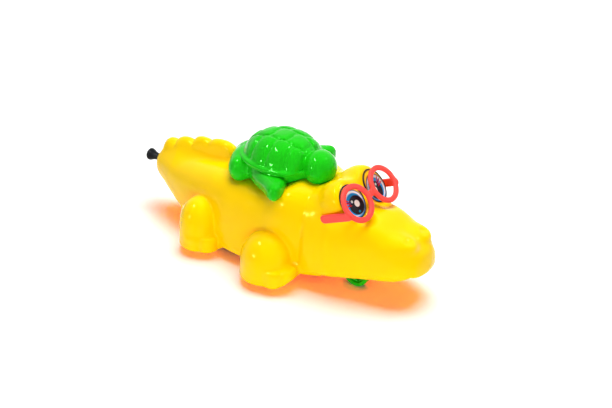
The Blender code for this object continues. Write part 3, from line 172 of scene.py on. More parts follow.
FLIPPER_OUTLINE = ((-12.0, -12.5), (-4.0, -19.0), (6.0, -24.0), (12.8, -27.8), (16.8, -26.6))
FLIPPER_OUTLINE += ((16.8, -20.0), (13.0, -12.0), (5.0, -7.0), (-6.0, -7.0))
FLIPPER_POINTS, FLIPPER_Z, FLIPPER_HALF, FLIPPER_ROUND = 54, 49.2, 5.1, 4.2
LIMB_FILLETS = {"rump": 2.0, "flipper": 1.2, "leg": 2.5, "head": 1.5, "shell": 0.7}
TURTLE_CLEARANCE = 0.45
TURTLE_SCREW, TURTLE_HOLE_Z, TURTLE_PILOT_Z = (2.0, 8.0), (38.0, 48.0), (40.0, 55.0)
POST_RADIUS, POST_Z = 3.2, (44.6, 62.0)

# Glasses
RING_CENTRE, RING_TILT, RING_TURN = (55.95, 11.8, 51.2), 41.0, 4.0
RING_RADIUS, RING_BAND, RING_THICKNESS = 10.3, 2.9, 1.8
RING_EDGE, RING_FILLET = 0.75, 1.0
BRIDGE_HALF_WIDTH, BRIDGE_HEIGHT, BRIDGE_THINNER, BRIDGE_EDGE = 3.0, 3.4, 0.1, 0.6
PEG_X, PEG_Z, PEG_RADIUS, PEG_REACH = 42.7, 41.9, 1.3, 16.6
PEG_EDGE, PEG_FILLET, PEG_HOLE_Y = 0.3, 0.4, (14.0, 26.0)
ARM_Y, ARM_FRONT, ARM_HALF_HEIGHT, ARM_THICKNESS = 21.3, (56.8, 48.2), 2.2, 1.4
ARM_EDGE, ARM_FILLET = 0.5, 0.8

# Wheels and axles
REAR_WHEEL_RADIUS, REAR_WHEEL_WIDTH, REAR_WHEEL_Y, REAR_AXLE_X = 10.5, 5.4, 19.0, -26.3
FRONT_WHEEL_RADIUS, FRONT_WHEEL_WIDTH, FRONT_WHEEL_Y, FRONT_AXLE_X = 7.6, 4.4, 7.4, 53.6
TYRE_DEPTH, AXLE_RADIUS = 1.6, 1.25
TREAD = ((0.0, -1.5), (0.35, -1.35), (0.35, -1.05), (0.0, -0.9), (0.0, -0.3), (0.35, -0.15))
WELL_GAP, REAR_WELL_SIDE_GAP, FRONT_WELL_SIDE_GAP = 0.8, 0.4, 0.5
WELL_WALL_Z, REAR_WELL_Z, FRONT_WELL_Z = 15.0, 20.0, 30.0
WELL_WALL_REACH, AXLE_SLOT_REACH, SOCKET_ROOT, SEAT_ROOT = (-1.6, -0.1), (-2.5, 0.3), 0.1, 0.2
LUG_HALF, LUG_Y, LUG_Z, FRONT_BORE_REACH = 3.0, (2.6, 4.6), (4.6, 11.5), 12.0
SPOKE_HOLES, SPOKE_HOLE_RADIUS, SPOKE_HOLE_REACH = 5, 1.2, 4.05

# Drive
DRUM_X, DRUM_Z, DRUM_CORE = -9.0, 17.7, 8.5
FRONT_EAR, REAR_EAR, EAR_RADIUS = (6.6, 14.0), (-37.0, 19.5), 3.0
FRONT_SEAT_HALF, FRONT_SEAT_Y, REAR_SEAT_HALF, REAR_SEAT_Y = 2.4, 9.0, 2.0, (5.0, 11.0)
WINDOW_X, WINDOW_Y = (-32.8, 2.8), 12.9
NYLON_NODES = ("gearbox_left", "gearbox_right", "cord_drum", "drive_gear", "idler_gear", "axle_pinion")

# Cord
CORD_RADIUS = 0.5
WIND_RADIUS = DRUM_CORE + GAP + CORD_RADIUS
WIND_TURNS, WIND_PITCH, WIND_STEPS = 6.0, 1.46, 48
STRANDS, CORD_LAY, CORD_SIDES, STRAND_DEPTH = 3, 1.4, 15, 0.12
CORD_Z = DRUM_Z + WIND_RADIUS
CORD_HOLE_RADIUS, CORD_HOLE_X = 1.2, (-96.0, -76.0)
KNOB_FRONT_X, KNOB_LENGTH, KNOB_RADIUS, KNOB_NECK = -83.6, 7.6, 3.4, 1.8
KNOB_ROUND, KNOB_FLARE = 0.3, ((0.05, 0.18), (0.25, 0.34))
KNOB_SHARES = ((0.70, 0.52), (0.88, 0.68), (0.98, 0.80), (1.0, 0.88), (0.97, 0.95), (0.86, 1.0))
KNOB_SHARES += ((0.70, 0.99), (0.58, 0.93), (0.30, 0.92), (0.0, 0.92))

# Fasteners
SCREW_RADIUS, SCREW_HEAD_RADIUS = 1.0, 2.4
BODY_SCREWS = ((-42.4, 15.7), (-42.4, -15.7), (33.0, 13.0), (33.0, -13.0))
BOSS_RADIUS, BOSS_FOOT_Z, SOCKET_RADIUS, SOCKET_TOP_Z, COUNTERBORE_Z = 2.8, 10.9, 3.7, 10.5, 7.6
BOSS_SINK, PILOT_DROP, PILOT_TOP_Z, CLEARANCE_Z = 0.4 * WALL, 4.0, 26.0, (3.0, 20.0)

# Light in metres and watts: place, size and power, and the lamps that light without being mirrored
LAMPS = (
    ("top", (-0.02, 0.22, 0.81), (0.7, 0.5), 11.0),
    ("strip", (-0.28, -0.32, 0.80), (0.20, 0.04), 5.0),
    ("low_strip", (-0.35, -0.88, 0.24), (0.18, 0.03), 2.5),
    ("side", (0.50, 0.40, 0.72), (0.08, 0.05), 2.5),
    ("front", (0.45, -0.85, 0.07), (0.6, 0.1), 5.2),
)
SOFT_LAMPS, LAMP_TARGET = ("top", "front"), (0.01, 0.0, 0.03)
WORLD_LIGHT, WORLD_SEEN, FLOOR_HALF = 0.06, 1.0, 3.0


def linked(name, data):
    obj = bpy.data.objects.new(name, data)
    bpy.context.scene.collection.objects.link(obj)
    return obj


def make_camera():
    turn = math.radians(CAMERA_TURN)
    rise = math.radians(CAMERA_RISE)
    right = Vector((math.cos(turn), math.sin(turn), 0.0))
    ahead = Vector((-math.sin(turn), math.cos(turn), 0.0))
    level = Vector((0.0, 0.0, 1.0))
    forward = ahead * math.cos(rise) - level * math.sin(rise)
    up = ahead * math.sin(rise) + level * math.cos(rise)
    data = bpy.data.cameras.new("camera")
    data.sensor_width = SENSOR
    data.sensor_fit = "HORIZONTAL"
    data.lens = FOCAL_PIXELS * SENSOR / PICTURE_WIDTH
    data.clip_start = 0.01
    camera = linked("camera", data)
    place = (Vector(CAMERA_TARGET) - forward * CAMERA_REACH) * MM
    turned_to = Matrix((right, up, -forward)).transposed().to_4x4()
    camera.matrix_world = Matrix.Translation(place) @ turned_to
    bpy.context.scene.camera = camera


# Mesh tools


def add_object(name, bm):
    bmesh.ops.remove_doubles(bm, verts=bm.verts, dist=1e-5)
    bmesh.ops.recalc_face_normals(bm, faces=bm.faces)
    mesh = bpy.data.meshes.new(name)
    bm.to_mesh(mesh)
    bm.free()
    return linked(name, mesh)


def combine(target, tools, operation):
    for tool in tools:
        step = target.modifiers.new("step", "BOOLEAN")
        step.operation = operation
        step.solver = "MANIFOLD"
        step.object = tool
        graph = bpy.context.evaluated_depsgraph_get()
        result = bpy.data.meshes.new_from_object(target.evaluated_get(graph))
        target.modifiers.remove(step)
        old = target.data
        target.data = result
        bpy.data.meshes.remove(old)
        bpy.data.objects.remove(tool, do_unlink=True)
    return target


def placed(obj, matrix):
    obj.data.transform(matrix)
    return obj


def finish(obj, name, surface, body, nodes, sharp=35.0):
    """Brings a piece to metres, gives it its material, ties it to its body, and hides the solids it shows."""
    obj.data.transform(Matrix.Scale(MM, 4))
    obj.name = name
    obj.data.name = name
    obj.data.materials.clear()
    obj.data.materials.append(surface)
    obj.data.shade_smooth()
    obj.data.set_sharp_from_angle(angle=math.radians(sharp))
    if body:
        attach(obj, body)
    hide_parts(*nodes)
    return obj


def smooth_value(x, knots, values):
    slopes = np.gradient(values, knots)
    i = int(np.clip(np.searchsorted(knots, x) - 1, 0, len(knots) - 2))
    step = knots[i + 1] - knots[i]
    t = (x - knots[i]) / step
    rise = (1 - t) ** 2 * (1 + 2 * t) * values[i] + t * t * (3 - 2 * t) * values[i + 1]
    return float(rise + step * t * (1 - t) * ((1 - t) * slopes[i] - t * slopes[i + 1]))


def station(stations, x):
    knots = [row[0] for row in stations]
    return [smooth_value(x, knots, [row[k] for row in stations]) for k in range(1, 8)]


def section(stations, x, inset, count):
    width, low, wide, top, top_power, low_power, lean = station(stations, x)
    width = max(width - inset, 0.8)
    top = max(top - inset, wide + 0.6)
    low = min(low + inset, wide - 0.6)
    angle = np.linspace(0.0, 2 * math.pi, 721)
    upper = np.sin(angle) >= 0
    power = np.where(upper, top_power, low_power)
    across = np.sign(np.cos(angle)) * np.abs(np.cos(angle)) ** (2 / power)
    rise = np.abs(np.sin(angle)) ** (2 / power)
    y = width * across * np.where(upper, 1 - lean * rise, 1.0)
    z = wide + np.where(upper, (top - wide) * rise, -(wide - low) * rise)
    run = np.concatenate([[0.0], np.cumsum(np.hypot(np.diff(y), np.diff(z)))])
    want = np.linspace(0.0, run[-1], count, endpoint=False)
    return [(x, float(np.interp(s, run, y)), float(np.interp(s, run, z))) for s in want]


def roof(stations, x, y):
    if not stations[0][0] <= x <= stations[-1][0]:
        return 0.0
    width, _, wide, top, power, _, lean = station(stations, x)
    rise = 1.0
    for _ in range(6):
        share = min(abs(y) / (width * (1 - lean * rise)), 1.0)
        rise = (1 - share**power) ** (1 / power)
    return wide + (top - wide) * rise


def loft(name, rings):
    bm = bmesh.new()
    rows = [[bm.verts.new(point) for point in ring] for ring in rings]
    count = len(rows[0])
    for first, second in zip(rows, rows[1:]):
        for i in range(count):
            bm.faces.new((first[i], first[(i + 1) % count], second[(i + 1) % count], second[i]))
    bm.faces.new(rows[0])
    bm.faces.new(rows[-1])
    return add_object(name, bm)


def form(name, stations, inset, rings, count, end_inset=0.0, tip_inset=0.0):
    start = stations[0][0] + end_inset
    end = stations[-1][0] - end_inset
    middle = 0.5 * (start + end)
    drawn = []
    for x in start + (end - start) * (0.5 - 0.5 * np.cos(np.linspace(0.0, math.pi, rings))):
        back = tip_inset * max(0.0, (x - middle) / (end - middle)) ** 2
        drawn.append([(px - back, py, pz) for px, py, pz in section(stations, float(x), inset, count)])
    return loft(name, drawn)


def belly_slab(name, inset, x_ends, z_ends):
    rings = []
    for x in np.linspace(*x_ends, 41):
        half = station(BODY_STATIONS, float(x))[0] - inset
        corners = ((-half, 0), (half, 0), (half, 1), (-half, 1))
        rings.append([(x, y, z_ends[level]) for y, level in corners])
    return loft(name, rings)


def cylinder(name, start, end, radius, segments=32):
    start = Vector(start)
    end = Vector(end)
    bm = bmesh.new()
    bmesh.ops.create_cone(
        bm, cap_ends=True, segments=segments, radius1=radius, radius2=radius, depth=(end - start).length
    )
    turn = Vector((0, 0, 1)).rotation_difference(end - start).to_matrix().to_4x4()
    bm.transform(Matrix.Translation((start + end) / 2) @ turn)
    return add_object(name, bm)


def upright(x, y, z_ends, radius):
    return cylinder("upright", (x, y, z_ends[0]), (x, y, z_ends[1]), radius)


def block(name, low, high):
    bm = bmesh.new()
    bmesh.ops.create_cube(bm, size=1.0)
    low = Vector(low)
    high = Vector(high)
    bm.transform(Matrix.Translation((low + high) / 2) @ Matrix.Diagonal((*(high - low), 1.0)))
    return add_object(name, bm)


def prism(name, outline, y_low, y_high):
    bm = bmesh.new()
    face = bm.faces.new([bm.verts.new((x, y_low, z)) for x, z in outline])
    grown = bmesh.ops.extrude_face_region(bm, geom=[face])
    fresh = [item for item in grown["geom"] if isinstance(item, bmesh.types.BMVert)]
    bmesh.ops.translate(bm, vec=(0, y_high - y_low, 0), verts=fresh)
    return add_object(name, bm)


def turned(name, profile, steps):
    """A closed profile of (radius, y) points, spun about the Y axis."""
    bm = bmesh.new()
    points = [bm.verts.new((radius, y, 0.0)) for radius, y in profile]
    pairs = zip(points, points[1:] + points[:1])
    edges = [bm.edges.new((a, b)) for a, b in pairs if a.co.x > 0 or b.co.x > 0]
    turn = {"cent": MIDDLE, "axis": (0, 1, 0), "angle": 2 * math.pi}
    bmesh.ops.spin(bm, geom=points + edges, **turn, steps=steps, use_merge=True)
    bmesh.ops.remove_doubles(bm, verts=bm.verts, dist=1e-5)
    bmesh.ops.dissolve_degenerate(bm, edges=bm.edges, dist=1e-5)
    return add_object(name, bm)


def ellipse(radii, count):
    turn = 2 * math.pi / count
    return [(radii[0] * math.cos(i * turn), radii[1] * math.sin(i * turn)) for i in range(count)]


def closed_curve(points, count):
    total = len(points)
    drawn = []
    for i in range(count):
        place = total * i / count
        k = int(place)
        t = place - k
        a, b, c, d = (Vector(points[(k + n) % total]) for n in (-1, 0, 1, 2))
        bend = (2 * a - 5 * b + 4 * c - d) * t**2 + (3 * b - a - 3 * c + d) * t**3
        drawn.append(tuple(b + 0.5 * ((c - a) * t + bend)))
    return drawn


def seam_block(name, lift, far_z):
    knots = [row[0] for row in SEAM_LINE]
    heights = [row[1] for row in SEAM_LINE]
    line = [(x, smooth_value(x, knots, heights) + lift) for x in np.linspace(knots[2], knots[-1], 90)]
    outline = [(knots[0], far_z), (knots[0], RIM_Z + lift)] + line + [(knots[-1], far_z)]
    return prism(name, outline, -ASIDE, ASIDE)


def on_side(centre, side):
    return (centre[0], side * centre[1], centre[2])


def tilted_frame(centre, side, tilt, turn):
    """Frame facing forward and up: local Z is its normal and local Y points up the face."""
    return (
        Matrix.Translation(on_side(centre, side))
        @ Matrix.Rotation(math.radians(side * turn), 4, "Z")
        @ Matrix.Rotation(math.radians(90.0 - tilt), 4, "Y")
        @ Matrix.Rotation(math.radians(90.0), 4, "Z")
    )


def eye_frame(side):
    return tilted_frame(EYE_FACE_POINT, side, EYE_FACE_TILT, EYE_FACE_TURN)


# Distance fields: each returns about the signed distance of points to a form, negative inside


def join(a, b, fillet):
    """Union with a fillet."""
    near = np.maximum(fillet - np.abs(a - b), 0.0) / fillet
    return np.minimum(a, b) - near * near * fillet * 0.25


def cut(a, b, edge):
    """What is in both, with a rounded edge."""
    return -join(-a, -b, edge)


def ball(p, centre, radii):
    q = p - np.array(centre)
    near = np.linalg.norm(q / np.array(radii), axis=1)
    slope = np.linalg.norm(q / np.array(radii) ** 2, axis=1)
    return near * (near - 1.0) / np.maximum(slope, 1e-6)


def blunt(u, v, power):
    """Ratio to an oval of some power, 1 on its edge."""
    return (np.abs(u) ** power + np.abs(v) ** power) ** (1 / power)


def from_ratio(reach, ratio):
    """Distance to an edge at ratio 1, from the distance to the middle."""
    return reach * (1 - 1 / np.maximum(ratio, LEAST_RATIO))


def rounded(a, b, edge):
    """What is in both, with an edge of a given radius."""
    a, b = a + edge, b + edge
    return np.hypot(np.maximum(a, 0.0), np.maximum(b, 0.0)) + np.minimum(np.maximum(a, b), 0.0) - edge


def rounded_bar(u, v, half_u, half_v, edge):
    return rounded(np.abs(u) - half_u, np.abs(v) - half_v, edge)


def local(p, matrix):
    """Points in the coordinates of a frame."""
    back = np.array(matrix.inverted())
    return p @ back[:3, :3].T + back[:3, 3]


def lofted(stations, ends):
    """Field of a loft through stations, its rear and front ends rounded."""
    xs = np.linspace(stations[0][0], stations[-1][0], 500)
    rows = np.array([station(stations, float(x)) for x in xs])

    def field(p):
        x = np.clip(p[:, 0], xs[0], xs[-1])
        width, low, wide, top, top_power, low_power, lean = (np.interp(x, xs, rows[:, k]) for k in range(7))
        rise = p[:, 2] - wide
        upper = rise >= 0
        v = np.abs(rise) / np.where(upper, top - wide, wide - low)
        u = np.abs(p[:, 1]) / (width * np.where(upper, 1 - lean * np.minimum(v, 1.0), 1.0))
        ratio = blunt(u, v, np.where(upper, top_power, low_power))
        flank = from_ratio(np.hypot(p[:, 1], rise), ratio)
        return cut(cut(flank, xs[0] - p[:, 0], ends[0]), p[:, 0] - xs[-1], ends[1])

    return field


def crest(p):
    """Scalloped fin along the tail."""
    x, y, z = p.T
    rim = np.full(len(p), CREST_FOOT_Z)
    for peak_x, peak_z in CREST_LOBES:
        last = peak_x == CREST_LOBES[-1][0]
        share = np.clip((x - peak_x) / (CREST_LAST_REACH if last else CREST_LOBE_REACH), -1.0, 1.0)
        outer = (x < CREST_LOBES[0][0]) | (x > CREST_LOBES[-1][0])
        depth = np.where(outer, CREST_END_DEPTH, CREST_LOBE_DEPTH)
        lobe = peak_z - depth * (1.0 - np.sqrt(1.0 - share**2))
        lobe = np.where(np.abs(share) < 1.0, lobe, CREST_FOOT_Z)
        rim = -join(-rim, -lobe, CREST_NOTCH)
    thin = np.clip((z - CREST_FOOT_Z) / CREST_HEIGHT, 0.0, 1.0)
    half = CREST_HALF_THICKNESS * (CREST_FLARE - CREST_TAPER * thin)
    middle = 0.5 * (CREST_ENDS[0] + CREST_ENDS[1])
    span = 0.5 * (CREST_ENDS[1] - CREST_ENDS[0])
    fin = cut(cut(np.abs(y) - half, z - rim, CREST_EDGE), np.abs(x - middle) - span, CREST_END_EDGE)
    return np.maximum(fin, CREST_FOOT_Z - z)


def paw(p, values, side):
    """Rounded leg on a foot with toes."""
    x, y, z = p[:, 0], -side * p[:, 1], p[:, 2]
    (dome_x, dome_y, dome_z), radii = values["dome"]
    drawn = np.stack([x - dome_x, y - dome_y, np.maximum(z - dome_z, 0.0)], 1)
    drawn[:, :2] /= 1.0 + PAW_FLARE * np.maximum(dome_z - z, 0.0)[:, None]
    dome = ball(drawn, MIDDLE, radii)
    (foot_x, foot_y), (reach_x, reach_y), power, top = values["foot"]
    toes = values["toes"]
    spread = toes[1] - toes[0]
    u, v = x - foot_x, y - foot_y
    heading = np.degrees(np.arctan2(v, u))
    inside = (heading > toes[0] - spread / 2) & (heading < toes[-1] + spread / 2)
    wave = np.where(inside, np.cos(2 * math.pi * (heading - toes[0]) / spread), -1.0)
    groove = np.zeros(len(p))
    for k in range(TOE_LINES):
        away = ((heading - toes[0]) / spread - k + 0.5) / TOE_LINE_WIDTH
        groove = np.maximum(groove, np.exp(-(away**2)))
    ratio = np.maximum(blunt(u / reach_x, v / reach_y, power), LEAST_RATIO)
    plan = np.hypot(u, v) * (1 - (1 + TOE_DEPTH * (wave + 1.0)) / ratio) + TOE_GROOVE * groove
    fade = np.clip((ratio - TOE_FADE_START) / TOE_FADE, 0.0, 1.0)
    foot = cut(plan, z - top + TOE_GROOVE * groove * fade, FOOT_EDGE)
    return cut(join(dome, foot, FOOT_FILLET), SOLE_Z - z, SOLE_EDGE)


BODY_FIELD = lofted(BODY_STATIONS, BODY_ENDS)
HEAD_FIELD = lofted(HEAD_STATIONS, HEAD_ENDS)


def crocodile(p):
    """Outside of the yellow body before it is parted and hollowed."""
    head = HEAD_FIELD(p)
    for side in (-1, 1):
        drawn = p - np.array(on_side(EYE_CENTRE, side))
        drawn[:, 0] += EYE_RECESS * np.maximum(-drawn[:, 2], 0.0)
        drawn[:, 0] *= np.where(drawn[:, 0] < 0.0, EYE_RADII[0] / EYE_REAR_REACH, 1.0)
        head = join(head, ball(drawn, MIDDLE, EYE_RADII), FILLETS["eye"])
        head = join(head, ball(p, on_side(NOSTRIL_CENTRE, side), NOSTRIL_RADII), FILLETS["nostril"])
        head = cut(head, -ball(p, on_side(DIMPLE_CENTRE, side), DIMPLE_RADII), DIMPLE_EDGE)
    whole = join(BODY_FIELD(p), head, FILLETS["neck"])
    whole = join(whole, crest(p), np.interp(p[:, 0], *CREST_FILLETS))
    for side in (-1, 1):
        for values in (FRONT_PAW, REAR_PAW):
            whole = join(whole, paw(p, values, side), FILLETS["paw"])
    for side in (-1, 1):
        face = local(p, eye_frame(side))
        from_middle = np.hypot(face[:, 0] / FOIL_WIDTH, (face[:, 1] + FOIL_DROP) / FOIL_HEIGHT)
        beyond = from_middle * 2.0 - FACE_MARGIN
        dish = face[:, 2] - np.interp(face[:, 1], *FACE_BEND) * np.maximum(beyond, 0.0) ** 2
        near = (beyond < FACE_REACH) & (face[:, 2] > -FACE_DEPTH)
        whole = np.where(near, cut(whole, dish, FACE_EDGE), whole)
    return whole


def outline_distance(points, outline):
    """Signed distance of plan points to a closed outline."""
    corners = np.array(outline)
    nearest = np.full(len(points), 1e9)
    inside = np.zeros(len(points), bool)
    for a, b in zip(corners, np.roll(corners, -1, axis=0)):
        along = b - a
        t = np.clip(((points - a) @ along) / (along @ along), 0.0, 1.0)
        nearest = np.minimum(nearest, np.linalg.norm(points - a - t[:, None] * along, axis=1))
        crosses = (a[1] > points[:, 1]) != (b[1] > points[:, 1])
        if abs(along[1]) > 1e-9:
            inside ^= crosses & (points[:, 0] < a[0] + (points[:, 1] - a[1]) / along[1] * along[0])
    return np.where(inside, -nearest, nearest)


FLIPPER_PLAN = closed_curve(FLIPPER_OUTLINE, FLIPPER_POINTS)
SCUTES = [(a, 0.0) for a in SPINE_PLATES]
SCUTES += [(a, b * side) for a, b in SIDE_PLATES for side in (-1, 1)]


def oval(p, centre_x, half_length, half_width, power=2.0):
    """Plan distance to an oval round the turtle's middle line."""
    u, v = p[:, 0] - centre_x, p[:, 1]
    return from_ratio(np.hypot(u, v), blunt(u / half_length, v / half_width, power))


def scute_relief(p):
    """Height of the plates over the shell: raised fields with grooves between them."""
    q = (p - np.array(TURTLE_CENTRE)) / np.array(TURTLE_RADII)
    apart = np.stack([np.hypot(q[:, 0] - a, q[:, 1] - b) for a, b in SCUTES])
    apart.sort(axis=0)
    edge = (apart[1] - apart[0]) * 0.5 * TURTLE_RADII[1]
    groove = GROOVE_DEPTH * np.exp(-((edge / GROOVE_WIDTH) ** 2))
    return PLATE_RISE * np.clip(edge / PLATE_SLOPE, 0.0, 1.0) - groove


def turtle(p):
    """Outside of the turtle before it is hollowed and seated."""
    x, z = p[:, 0], p[:, 2]
    away = p - np.array(TURTLE_CENTRE)
    q = away / np.array(TURTLE_RADII)
    near = blunt(np.hypot(q[:, 0], q[:, 1]), q[:, 2], TURTLE_POWER)
    dome = from_ratio(np.linalg.norm(away, axis=1), near) - scute_relief(p)
    dome = cut(cut(dome, TURTLE_FOOT_Z - z, TURTLE_FOOT_EDGE), x - TURTLE_FRONT_X, TURTLE_FRONT_EDGE)
    foot = (TURTLE_FOOT_Z - TURTLE_CENTRE[2]) / TURTLE_RADII[2]
    share = (1.0 - foot**TURTLE_POWER) ** (1 / TURTLE_POWER)
    reach = [share * radius + SKIRT_REACH for radius in TURTLE_RADII[:2]]
    skirt = oval(p, TURTLE_CENTRE[0], *reach, SKIRT_POWER)
    skirt = cut(skirt, np.abs(z - SKIRT_Z) - SKIRT_HALF, SKIRT_EDGE)
    whole = join(dome, cut(skirt, x - TURTLE_FRONT_X, SKIRT_FRONT_EDGE), SKIRT_FILLET)
    rows = np.array(TURTLE_BODY)
    middle, long_half, wide_half = (np.interp(z, rows[:, 3], rows[:, k]) for k in range(3))
    body = np.maximum(oval(p, middle, long_half, wide_half), np.abs(z - TURTLE_BODY_Z) - TURTLE_BODY_HALF)
    limbs = join(body, ball(p, *TURTLE_RUMP), LIMB_FILLETS["rump"])
    for side in (-1, 1):
        inward = outline_distance(np.stack([x, -side * p[:, 1]], 1), FLIPPER_PLAN)
        flipper = rounded(inward, np.abs(z - FLIPPER_Z) - FLIPPER_HALF, FLIPPER_ROUND)
        limbs = join(limbs, flipper, LIMB_FILLETS["flipper"])
        for centre, radii in TURTLE_LEGS:
            limbs = join(limbs, ball(p, on_side(centre, -side), radii), LIMB_FILLETS["leg"])
    for centre, radii in (TURTLE_NECK, TURTLE_HEAD):
        limbs = join(limbs, ball(p, centre, radii), LIMB_FILLETS["head"])
    return join(whole, limbs, LIMB_FILLETS["shell"])


def spectacles(p):
    middle = tilted_frame((RING_CENTRE[0], 0.0, RING_CENTRE[2]), 1, RING_TILT, 0.0)
    q = local(p, middle)
    half = RING_THICKNESS / 2
    whole = rounded_bar(q[:, 1], q[:, 2], BRIDGE_HEIGHT / 2, half - BRIDGE_THINNER, BRIDGE_EDGE)
    whole = np.maximum(whole, np.abs(q[:, 0]) - BRIDGE_HALF_WIDTH)
    for side in (-1, 1):
        q = local(p, tilted_frame(RING_CENTRE, side, RING_TILT, RING_TURN))
        around = np.hypot(q[:, 0], q[:, 1]) - (RING_RADIUS - RING_BAND / 2)
        ring = rounded_bar(around, q[:, 2], RING_BAND / 2, half, RING_EDGE)
        whole = join(whole, ring, RING_FILLET)
        ahead = np.array(ARM_FRONT) - np.array((PEG_X, PEG_Z))
        flat = p[:, [0, 2]] - np.array((PEG_X, PEG_Z))
        t = np.clip((flat @ ahead) / (ahead @ ahead), 0.0, 1.0)
        away = np.linalg.norm(flat - t[:, None] * ahead, axis=1)
        arm = rounded_bar(away, p[:, 1] - side * ARM_Y, ARM_HALF_HEIGHT, ARM_THICKNESS / 2, ARM_EDGE)
        whole = join(whole, arm, ARM_FILLET)
        pin = np.hypot(flat[:, 0], flat[:, 1]) - PEG_RADIUS
        off_middle = np.abs(side * p[:, 1] - (PEG_REACH + ARM_Y) / 2)
        pin = cut(pin, off_middle - (ARM_Y - PEG_REACH) / 2, PEG_EDGE)
        whole = join(whole, pin, PEG_FILLET)
    return whole


def slope_of(field, points):
    step = 0.02
    sides = []
    for axis in np.eye(3) * step:
        sides.append((field(points + axis) - field(points - axis)) / (2 * step))
    return np.stack(sides, 1)


def settle(field, points, rounds):
    """Draws points onto the field's zero level."""
    for _ in range(rounds):
        slope = slope_of(field, points)
        move = field(points) / np.maximum((slope**2).sum(1), LEAST_SLOPE)
        points = points - np.clip(move, -LONGEST_MOVE, LONGEST_MOVE)[:, None] * slope
    return points


def skin(name, field, low, high, step):
    """Quad mesh of a field's zero level: one point in each grid cell that the level crosses."""
    counts = [int(math.ceil((b - a) / step)) + 1 for a, b in zip(low, high)]
    axes = [a + step * np.arange(n) for a, n in zip(low, counts)]
    values = np.empty(counts)
    for i in range(0, counts[0], GRID_ROWS):
        rows = slice(i, i + GRID_ROWS)
        grid = np.stack(np.meshgrid(axes[0][rows], axes[1], axes[2], indexing="ij"), -1)
        values[rows] = field(grid.reshape(-1, 3)).reshape(grid.shape[:3])
    inside = values < 0
    cells = [n - 1 for n in counts]
    total = np.zeros((*cells, 3))
    hits = np.zeros(cells, int)
    crossings = []
    for axis in range(3):
        first = tuple(slice(0, -1) if k == axis else slice(None) for k in range(3))
        second = tuple(slice(1, None) if k == axis else slice(None) for k in range(3))
        where = np.argwhere(inside[first] != inside[second])
        here = values[first][tuple(where.T)]
        there = values[second][tuple(where.T)]
        place = where.astype(float)
        place[:, axis] += here / (here - there)
        others = [k for k in range(3) if k != axis]
        around = []
        for a, b in ((0, 0), (1, 0), (1, 1), (0, 1)):
            cell = where.copy()
            cell[:, others[0]] -= a
            cell[:, others[1]] -= b
            np.add.at(total, tuple(cell.T), place)
            np.add.at(hits, tuple(cell.T), 1)
            around.append(cell)
        crossings.append((around, (here < 0) != (axis == 1)))
    number = np.full(cells, -1)
    used = np.argwhere(hits > 0)
    number[tuple(used.T)] = np.arange(len(used))
    points = total[tuple(used.T)] / hits[tuple(used.T)][:, None] * step + np.array(low)
    faces = []
    for around, forward in crossings:
        quads = np.stack([number[tuple(cell.T)] for cell in around], 1)
        quads[~forward] = quads[~forward][:, ::-1]
        faces.append(quads)
    faces = np.concatenate(faces)
    ends = np.concatenate([faces[:, [k, (k + 1) % 4]] for k in range(4)])
    links = np.bincount(ends[:, 0], minlength=len(points))
    points = settle(field, points, 2)
    for _ in range(RELAX_ROUNDS):
        mean = np.zeros_like(points)
        np.add.at(mean, ends[:, 0], points[ends[:, 1]])
        points = settle(field, points + 0.5 * (mean / links[:, None] - points), 1)
    points = settle(field, points, 2)
    mesh = bpy.data.meshes.new(name)
    mesh.from_pydata(points.tolist(), [], faces.tolist())
    return linked(name, mesh)


# Materials: part of a noise that is used, how far gloss varies, depths in metres, sockets of a colour mix

NOISE_SPAN, GLOSS_SPREAD, LEAST_ROUGH, FOIL_ROUGH = (0.3, 0.7), (0.05, 0.06), 0.03, (0.22, 0.38)
GRAIN_DEPTH, THREAD_DEPTH = 0.0002, 0.0001
MIX_FACTOR, MIX_UNDER, MIX_OVER, MIX_RESULT = 0, 6, 7, 2


def nodes_of(name):
    made = bpy.data.materials.new(name)
    made.use_nodes = True
    tree = made.node_tree
    return made, tree, tree.nodes["Principled BSDF"]


def add_node(tree, kind, **values):
    node = tree.nodes.new(kind)
    for key, value in values.items():
        if key in node.inputs:
            node.inputs[key].default_value = value
        else:
            setattr(node, key, value)
    return node


def shade(colour, factor):
    return tuple(min(max(value * factor, 0.0), 1.0) for value in colour)


def noise(tree, kind="ShaderNodeTexNoise", **values):
    """Texture in a piece's own coordinates."""
    node = add_node(tree, kind, **values)
    place = add_node(tree, "ShaderNodeTexCoord")
    tree.links.new(place.outputs["Object"], node.inputs["Vector"])
    return node.outputs["Fac"]


def ramped(tree, value, colours, places=(0.0, 1.0)):
    ramp = add_node(tree, "ShaderNodeValToRGB")
    for element, colour, place in zip(ramp.color_ramp.elements, colours, places):
        element.color = (*colour, 1.0)
        element.position = place
    tree.links.new(value, ramp.inputs["Fac"])
    return ramp.outputs["Color"]


def ranged(tree, value, ends, start=(0.0, 1.0), **values):
    node = add_node(tree, "ShaderNodeMapRange", **values)
    for key, number in zip(("From Min", "From Max", "To Min", "To Max"), (*start, *ends)):
        node.inputs[key].default_value = number
    tree.links.new(value, node.inputs["Value"])
    return node.outputs["Result"]


def bumped(tree, shader, height, strength, depth):
    relief = add_node(tree, "ShaderNodeBump", Strength=strength, Distance=depth)
    tree.links.new(height, relief.inputs["Height"])
    tree.links.new(relief.outputs["Normal"], shader.inputs["Normal"])


